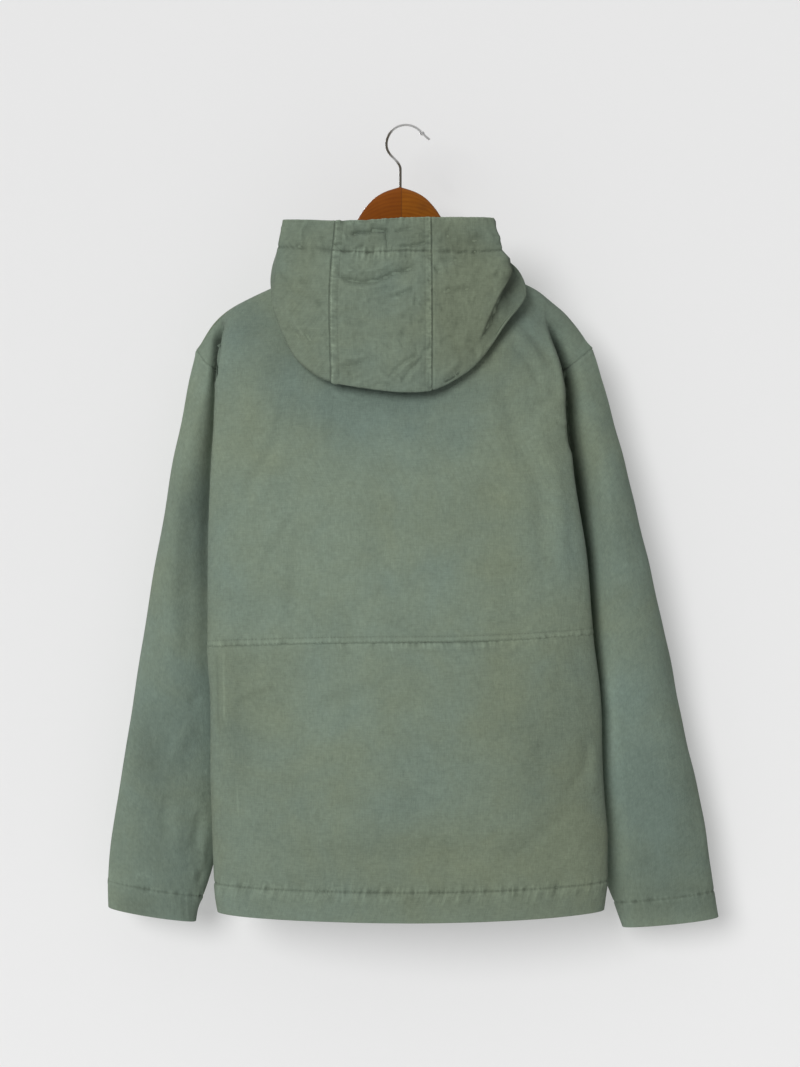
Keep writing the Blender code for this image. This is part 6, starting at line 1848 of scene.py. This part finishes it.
# ---- hanger ---------------------------------------------------------------------
def loft_piece(name, rings, mat, body, caps=True):
    """A closed body through rings of equal count, with a point at each end."""
    rings = [np.asarray(r, float) for r in rings]
    n = len(rings[0])
    pts = [p for r in rings for p in r]
    faces = []
    for i in range(len(rings) - 1):
        for j in range(n):
            a, b = i * n + j, i * n + (j + 1) % n
            faces.append((a, b, b + n, a + n))
    pts.append(rings[0].mean(axis=0))
    pts.append(rings[-1].mean(axis=0))
    first, last = len(pts) - 2, len(pts) - 1
    base = (len(rings) - 1) * n
    for j in range(n):
        faces.append((first, (j + 1) % n, j))
        faces.append((last, base + j, base + (j + 1) % n))
    obj = new_piece(name, pts, faces, mat)
    bm = bmesh.new()
    bm.from_mesh(obj.data)
    bmesh.ops.recalc_face_normals(bm, faces=bm.faces[:])
    bm.to_mesh(obj.data)
    bm.free()
    obj.data.set_sharp_from_angle(angle=math.radians(55))
    if body:
        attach(obj, body)
    return obj


wood_top = curve_of(WOOD_TOP, "offset", "z")
wood_high = curve_of(WOOD_TOP, "offset", "height")


def wood_y(side, offset):
    if offset < NECK_OFFSET:
        return NECK_POINT_Y * smooth(offset / 62)
    return ridge(side, offset)[1]


def wood_section(side, offset, scale=1.0, count=40):
    top = wood_top(min(offset, 210)) - max(offset - 210, 0) * 0.95
    high = wood_high(min(offset, 210))
    mid = np.array([X0 + SIGN[side] * offset, wood_y(side, offset), top - high / 2])
    thin = WOOD_HALF - 1.8 * smooth((offset - 120) / 80)
    ring = []
    for k in range(count):
        a = 2 * math.pi * k / count
        ca, sa = math.cos(a), math.sin(a)
        y = math.copysign(abs(ca) ** 0.62, ca) * thin * scale
        z = math.copysign(abs(sa) ** 0.78, sa) * high / 2 * scale
        ring.append(mid + np.array([0, y, z]))
    return ring


wood_rings = []
for side, reach in (("right", WOOD_REACH_RIGHT), ("left", WOOD_REACH_LEFT)):
    ends = [(reach, 0.35), (reach - 0.7, 0.62), (reach - 2.0, 0.82), (reach - 4.5, 0.95), (reach - 8, 1.0)]
    ends += [(o, 1.0) for o in np.linspace(reach - 11, 3, 74)]
    run = [wood_section(side, o, k) for o, k in ends]
    wood_rings += run if side == "right" else [wood_section("left", 0)] + run[::-1]
hanger = loft_piece("hanger_wood_shaped", wood_rings, WOOD_MAT, "coat")
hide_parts("hanger_wood")

# the hook: stem, lean, bend, bead and straight end, as one smooth wire
APEX = -73.0
wire = [(HOOK_STEM_X, 0, z) for z in (APEX - 17, APEX - 8, APEX + 8, -57, -51)]
wire += [(8.2, 0, -46.5), (11.2, 0, -42), (15, 0, -38), (18.4, 0, -34.6), (21, 0, -31), (22.6, 0, -27.5)]
arc_z = HOOK_WIRE - HOOK_BEND
for k in range(19):
    a = math.radians(-5 + 150 * k / 18)
    wire.append((HOOK_BEND * math.cos(a), 0, arc_z + HOOK_BEND * math.sin(a)))
bead = np.array(wire[-1], float)
wire_end = np.array((-28.4, 0, -16.4))
wire_curve, wire_long = path_by_length(wire)
tube, reach = [wire_curve(s) for s in np.linspace(0, wire_long, 150)][:-1], []
reach = [HOOK_WIRE] * len(tube)
to_end = unit(wire_end - bead)
span = math.acos(HOOK_WIRE / HOOK_BALL)
for k in range(17):
    a = -span + 2 * span * k / 16
    tube.append(bead + to_end * HOOK_BALL * math.sin(a))
    reach.append(HOOK_BALL * math.cos(a))
for share, r in ((0.4, 1.0), (0.7, 1.0), (0.9, 1.0), (0.96, 0.93), (0.99, 0.75), (1.0, 0.45)):
    tube.append(bead + (wire_end - bead) * share)
    reach.append(HOOK_WIRE * r)
tube = np.array(tube)
wire_rings = []
for i, p in enumerate(tube):
    t = unit(tube[min(i + 1, len(tube) - 1)] - tube[max(i - 1, 0)])
    across_ = np.array([t[2], 0, -t[0]])
    wire_rings.append([p + reach[i] * (math.cos(a) * across_ + math.sin(a) * np.array([0, 1, 0]))
                       for a in (2 * math.pi * k / 20 for k in range(20))])
hook = loft_piece("hanger_hook_wire", wire_rings, HOOK_MAT, "coat")
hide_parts("hanger_hook")

# ---- zip ------------------------------------------------------------------------
front_mid = (panels["front", "left"][:, 0] + panels["front", "right"][:, 0]) / 2
CHAIN_BOTTOM, CHAIN_TOP = -941.0, -252.4
TAPE_OUTER, TAPE_WALL = 12.0, 0.8


def mid_at(z):
    return np.array([np.interp(z, front_mid[:, 2], front_mid[:, k]) for k in (0, 1)])


def bar(points, faces, centre, half, lean=0.0):
    """Adds a small block with chamfered long edges to a list of points and faces."""
    base = len(points)
    hx, hy, hz = half
    for z in (-hz, hz):
        for x, y in ((-hx, -hy * 0.5), (-hx * 0.6, -hy), (hx * 0.6, -hy), (hx, -hy * 0.5),
                     (hx, hy * 0.5), (hx * 0.6, hy), (-hx * 0.6, hy), (-hx, hy * 0.5)):
            points.append((centre[0] + x, centre[1] + y, centre[2] + z + lean * x))
    for e in range(8):
        e2 = (e + 1) % 8
        faces.append((base + e, base + e2, base + 8 + e2, base + 8 + e))
    faces.append(tuple(base + e for e in reversed(range(8))))
    faces.append(tuple(base + 8 + e for e in range(8)))


pts, faces = [], []
TOOTH = 1.55
count = int((CHAIN_TOP - 3 - CHAIN_BOTTOM - 4) / TOOTH)
for k in range(count):
    z = CHAIN_BOTTOM + 4 + TOOTH * (k + 0.5)
    x, y = mid_at(z)
    s = 1 if k % 2 else -1
    bar(pts, faces, (x + s * 1.05, y - 0.55, z), (1.75, 1.0, TOOTH * 0.40))
for z, hz in ((CHAIN_BOTTOM + 2.0, 2.0), (CHAIN_TOP - 1.2, 1.2)):     # stops
    x, y = mid_at(z)
    bar(pts, faces, (x, y - 0.5, z), (2.9, 1.05, hz))
teeth = new_piece("zip_teeth", pts, faces, ZIP_MAT, smooth_shade=False)
bm = bmesh.new()
bm.from_mesh(teeth.data)
bmesh.ops.recalc_face_normals(bm, faces=bm.faces[:])
bm.to_mesh(teeth.data)
bm.free()
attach(teeth, "coat")
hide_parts("zip_chain")

for side, s in SIGN.items():
    P, N = panels["front", side], normals["front", side]
    Pf = refine(P, np.linspace(0, P.shape[0] - 1, 181), np.array([0.0, 1.0]))
    Nf = refine(N, np.linspace(0, P.shape[0] - 1, 181), np.array([0.0, 1.0]))
    rows_ = []
    for i in range(Pf.shape[0]):
        n = unit(Nf[i, 0] * np.array([1, 1, 0]))
        out = unit(Pf[i, 1] - Pf[i, 0])
        deep = WALL / 2 + 0.35 + TAPE_WALL / 2
        z_shift = 1.2 * (1 - i / 180) - 3.0 * smooth((i - 174) / 6)
        base = Pf[i, 0] - n * deep + np.array([0, 0, z_shift])
        rows_.append([base + np.array([-s * (FRONT_EDGE - 1.8), 0, 0]) * (1 - w)
                      + out * (TAPE_OUTER - FRONT_EDGE) * w for w in np.linspace(0, 1, 7)])
    G = np.array(rows_)
    gn = np.cross(np.gradient(G, axis=0), np.gradient(G, axis=1))
    gn /= np.linalg.norm(gn, axis=2)[..., None]
    gn *= np.sign(-gn[..., 1:2])
    zip_tape, _ = cloth_shell("zip_tape_%s_woven" % side, G, gn, np.zeros(G.shape[:2]),
                              np.zeros(G.shape[:2]), TAPE_MAT, thick=TAPE_WALL)
    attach(zip_tape, "coat")
    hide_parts("zip_tape_" + side)

slider_x, slider_y = mid_at(-246.0)
FACE = slider_y - 3.6
PIVOT = np.array([slider_x, FACE - 1.6, -246.5])


def from_helper(name, points, faces, mat, bevel, cutters=(), at=(0, 0, 0)):
    """A body with rounded edges, less its cutters, as one plain mesh."""
    obj = new_piece(name, points, faces, mat, smooth_shade=False)
    bm = bmesh.new()
    bm.from_mesh(obj.data)
    bmesh.ops.recalc_face_normals(bm, faces=bm.faces[:])
    bm.to_mesh(obj.data)
    bm.free()
    made = []
    for p, f in cutters:
        c = new_piece(name + "_cut", p, f, mat, smooth_shade=False)
        bm = bmesh.new()
        bm.from_mesh(c.data)
        bmesh.ops.recalc_face_normals(bm, faces=bm.faces[:])
        bm.to_mesh(c.data)
        bm.free()
        mod = obj.modifiers.new("cut", "BOOLEAN")
        mod.object = c
        mod.operation = "DIFFERENCE"
        mod.solver = "EXACT"
        made.append(c)
    mod = obj.modifiers.new("round", "BEVEL")
    mod.width = bevel * MM
    mod.segments = 3
    mod.limit_method = "ANGLE"
    mod.angle_limit = math.radians(35)
    bpy.context.view_layer.update()
    dg = bpy.context.evaluated_depsgraph_get()
    mesh = bpy.data.meshes.new_from_object(obj.evaluated_get(dg))
    obj.modifiers.clear()
    obj.data = mesh
    for c in made:
        bpy.data.objects.remove(c)
    obj.data.shade_smooth()
    obj.data.set_sharp_from_angle(angle=math.radians(40))
    return obj


def prism(outline, y0, y1):
    """Points and faces of an outline in the XZ plane, thick from y0 to y1."""
    n = len(outline)
    p = [(x, y0, z) for x, z in outline] + [(x, y1, z) for x, z in outline]
    f = [tuple(range(n)), tuple(reversed(range(n, 2 * n)))]
    f += [(k, (k + 1) % n, n + (k + 1) % n, n + k) for k in range(n)]
    return p, f


# slider body: wide shoulders that close to the chain's width at the lower end
sx = slider_x
body_outline = [(sx - 2.9, -252.0), (sx + 2.9, -252.0), (sx + 3.4, -249.5), (sx + 4.2, -245.0),
                (sx + 4.2, -241.6), (sx + 3.0, -240.0), (sx + 0.9, -240.0), (sx, -241.4), (sx - 0.9, -240.0),
                (sx - 3.0, -240.0), (sx - 4.2, -241.6), (sx - 4.2, -245.0), (sx - 3.4, -249.5)]
front_plate = from_helper("zip_slider_plate", *prism(body_outline, FACE, FACE + 1.2), ZIP_MAT, 0.3)
back_outline = [(sx + (x - sx) * 0.97, z) for x, z in body_outline]
rear_plate = from_helper("zip_slider_rear", *prism(back_outline, slider_y - 0.7, slider_y + 0.4), ZIP_MAT, 0.25)
neck_ = from_helper("zip_slider_neck", *prism([(sx - 0.9, -246), (sx + 0.9, -246), (sx + 1.5, -240.8), (sx - 1.5, -240.8)],
                                            FACE + 1.0, slider_y - 0.6), ZIP_MAT, 0.15)
# flanges along both sides of the front plate
flange_l = from_helper("zip_slider_flange_l", *prism([(sx + 3.3, -250.5), (sx + 4.1, -246.0), (sx + 4.1, -242.5), (sx + 3.5, -242.5), (sx + 2.9, -250.5)],
                                                    FACE + 1.0, FACE + 2.2), ZIP_MAT, 0.15)
flange_r = from_helper("zip_slider_flange_r", *prism([(sx - 3.3, -250.5), (sx - 4.1, -246.0), (sx - 4.1, -242.5), (sx - 3.5, -242.5), (sx - 2.9, -250.5)],
                                                    FACE + 1.0, FACE + 2.2), ZIP_MAT, 0.15)
# the bail: a strap that arches over the pull's bar
bail_path = [(FACE + 0.5, -243.2), (FACE - 1.6, -243.1), (FACE - 3.2, -243.9), (FACE - 4.0, -245.4), (FACE - 4.1, -246.6),
             (FACE - 3.9, -248.2), (FACE - 2.9, -249.5), (FACE - 1.3, -250.0), (FACE + 0.5, -249.9)]
bp, _ = path_by_length([(0, y, z) for y, z in bail_path])
_, bail_long = path_by_length([(0, y, z) for y, z in bail_path])
bail_rings = []
samples = np.linspace(0, bail_long, 33)
for i, sv in enumerate(samples):
    p = bp(sv)
    t = unit(bp(min(sv + 0.1, bail_long)) - bp(max(sv - 0.1, 0)))
    nn = np.array([0, t[2], -t[1]])
    ring = []
    for k in range(12):
        a = 2 * math.pi * k / 12
        ca, sa = math.cos(a), math.sin(a)
        ring.append(np.array([slider_x, p[1], p[2]])
                    + np.array([1, 0, 0]) * math.copysign(abs(ca) ** 0.6, ca) * 0.95
                    + nn * math.copysign(abs(sa) ** 0.6, sa) * 0.5)
    bail_rings.append(ring)
bail = loft_piece("zip_slider_bail", bail_rings, ZIP_MAT, None)
for extra in (front_plate, rear_plate, neck_, flange_l, flange_r, bail):
    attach(extra, "coat")
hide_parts("zip_slider")

PULL_WIDTH, PULL_THICK, PULL_LONG = 3.25, 1.4, 26.0
BAR_HALF, SLOT_HALF, SLOT_LONG = 1.1, 1.6, 6.0
top_z, low_z = PIVOT[2] + BAR_HALF, PIVOT[2] + BAR_HALF - PULL_LONG
half = [(0.0, low_z)]
for k in range(1, 13):
    a = -math.pi / 2 + math.pi / 2 * k / 12
    half.append((PULL_WIDTH - 2.5 + 2.5 * math.cos(a), low_z + 2.5 + 2.5 * math.sin(a)))
half += [(PULL_WIDTH, low_z + 8), (PULL_WIDTH * 0.86, low_z + 13), (PULL_WIDTH * 0.82, top_z - 8.6),
         (PULL_WIDTH, top_z - 6.2), (PULL_WIDTH, top_z - 0.9), (PULL_WIDTH - 0.4, top_z - 0.25), (PULL_WIDTH - 0.9, top_z)]
outline = [(slider_x + x, z) for x, z in half] + [(slider_x - x, z) for x, z in reversed(half[1:])]
slot_outline = []
for cx, cz, a0 in ((SLOT_HALF - 0.7, PIVOT[2] - BAR_HALF - 0.7, 0), (-SLOT_HALF + 0.7, PIVOT[2] - BAR_HALF - 0.7, 90),
                   (-SLOT_HALF + 0.7, PIVOT[2] - BAR_HALF - SLOT_LONG + 0.7, 180),
                   (SLOT_HALF - 0.7, PIVOT[2] - BAR_HALF - SLOT_LONG + 0.7, 270)):
    for k in range(5):
        a = math.radians(a0 + 90 * k / 4)
        slot_outline.append((slider_x + cx + 0.7 * math.cos(a), cz + 0.7 * math.sin(a)))
dish_outline = []
for k in range(28):
    a = 2 * math.pi * k / 28
    dish_outline.append((slider_x + 1.7 * math.cos(a), low_z + 6.6 + 3.9 * math.sin(a)))
y0, y1 = PIVOT[1] - PULL_THICK / 2, PIVOT[1] + PULL_THICK / 2
pull = from_helper("zip_pull_tab", *prism(outline, y0, y1), ZIP_MAT, 0.28,
                   cutters=(prism(slot_outline, y0 - 1, y1 + 1), prism(dish_outline, y0 - 1, y0 + 0.35)))
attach(pull, "pull")
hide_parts("zip_pull")

# ---- stage, lights and camera -------------------------------------------------------
def flat_board(name, corners, mat):
    mesh = bpy.data.meshes.new(name)
    mesh.from_pydata(corners, [], [tuple(range(4))])
    mesh.update()
    mesh.materials.append(mat)
    obj = bpy.data.objects.new(name, mesh)
    bpy.context.scene.collection.objects.link(obj)
    return obj


wall_mat, nt, bsdf = start_material("backdrop_paper")
bsdf.inputs["Base Color"].default_value = (0.49, 0.49, 0.49, 1)
bsdf.inputs["Emission Color"].default_value = (1, 1, 1, 1)
bsdf.inputs["Emission Strength"].default_value = 0.291
bsdf.inputs["Roughness"].default_value = 1.0
bsdf.inputs["Specular IOR Level"].default_value = 0.0
clear = nt.nodes.new("ShaderNodeBsdfTransparent")
blend_ = nt.nodes.new("ShaderNodeMixShader")
geo = nt.nodes.new("ShaderNodeNewGeometry")
nt.links.new(geo.outputs["Backfacing"], blend_.inputs[0])
nt.links.new(bsdf.outputs[0], blend_.inputs[1])
nt.links.new(clear.outputs[0], blend_.inputs[2])
nt.links.new(blend_.outputs[0], nt.nodes["Material Output"].inputs["Surface"])
WALL_Y = -0.102
wall = flat_board("backdrop", [(2.6, WALL_Y, -1.6), (-2.6, WALL_Y, -1.6), (-2.6, WALL_Y, 1.6), (2.6, WALL_Y, 1.6)], wall_mat)
for flag in ("visible_diffuse", "visible_glossy", "visible_transmission", "visible_shadow", "visible_volume_scatter"):
    setattr(wall, flag, False)

floor_mat, nt, bsdf = start_material("floor_pale")
bsdf.inputs["Base Color"].default_value = (0.78, 0.78, 0.78, 1)
bsdf.inputs["Roughness"].default_value = 0.9
floor = flat_board("floor", [(-3, -3, -1.6), (3, -3, -1.6), (3, 3, -1.6), (-3, 3, -1.6)], floor_mat)

world = bpy.data.worlds.new("studio")
bpy.context.scene.world = world
world.use_nodes = True
nt = world.node_tree
sky = nt.nodes.new("ShaderNodeTexCoord").outputs["Generated"]
height_ = nt.nodes.new("ShaderNodeSeparateXYZ")
nt.links.new(sky, height_.inputs[0])
# a room that is dimmer at eye level than overhead and at the floor
glow = maths(nt, "ADD", maths(nt, "MULTIPLY", maths(nt, "POWER", height_.outputs[2], 2.0), 0.46), 0.25)
nt.links.new(glow, nt.nodes["Background"].inputs["Strength"])
nt.nodes["Background"].inputs["Color"].default_value = (1.0, 1.0, 1.0, 1)


def area_light(name, at, aim, size, watts, colour=(1, 1, 1)):
    data = bpy.data.lights.new(name, "AREA")
    data.shape = "DISK"
    data.size = size
    data.energy = watts
    data.color = colour
    obj = bpy.data.objects.new(name, data)
    bpy.context.scene.collection.objects.link(obj)
    from_, to_ = np.array(at, float), np.array(aim, float)
    obj.location = at
    d = unit(to_ - from_)
    obj.rotation_euler = Vector(d).to_track_quat("-Z", "Y").to_euler()
    return obj


def far_light(name, towards, strength, angle):
    """A very large, far softbox: the same light and the same soft edge everywhere."""
    data = bpy.data.lights.new(name, "SUN")
    data.energy = strength
    data.angle = math.radians(angle)
    obj = bpy.data.objects.new(name, data)
    bpy.context.scene.collection.objects.link(obj)
    obj.location = np.array(towards, float) * 3
    obj.rotation_euler = Vector(-unit(np.array(towards, float))).to_track_quat("-Z", "Y").to_euler()
    obj.visible_glossy = False
    return obj


far_light("key", (0.46, 1.0, 0.32), 2.35, 28)
area_light("front_fill", (0.8, -3.2, 0.8), (0.0, 0.0, -0.5), 1.6, 60)

cam_data = bpy.data.cameras.new("view")
cam_data.sensor_fit = "VERTICAL"
cam_data.sensor_height = 36.0
cam_data.sensor_width = 36.0
cam_data.lens = 36.0 * 2.7 / (2 * 0.6402)
cam = bpy.data.objects.new("view", cam_data)
cam.location = (0.0072, 2.7, -0.4888)
cam.rotation_euler = (math.radians(90), 0, math.radians(180))
bpy.context.scene.collection.objects.link(cam)
bpy.context.scene.camera = cam
bpy.context.scene.view_settings.view_transform = "Standard"
bpy.context.scene.view_settings.look = "None"
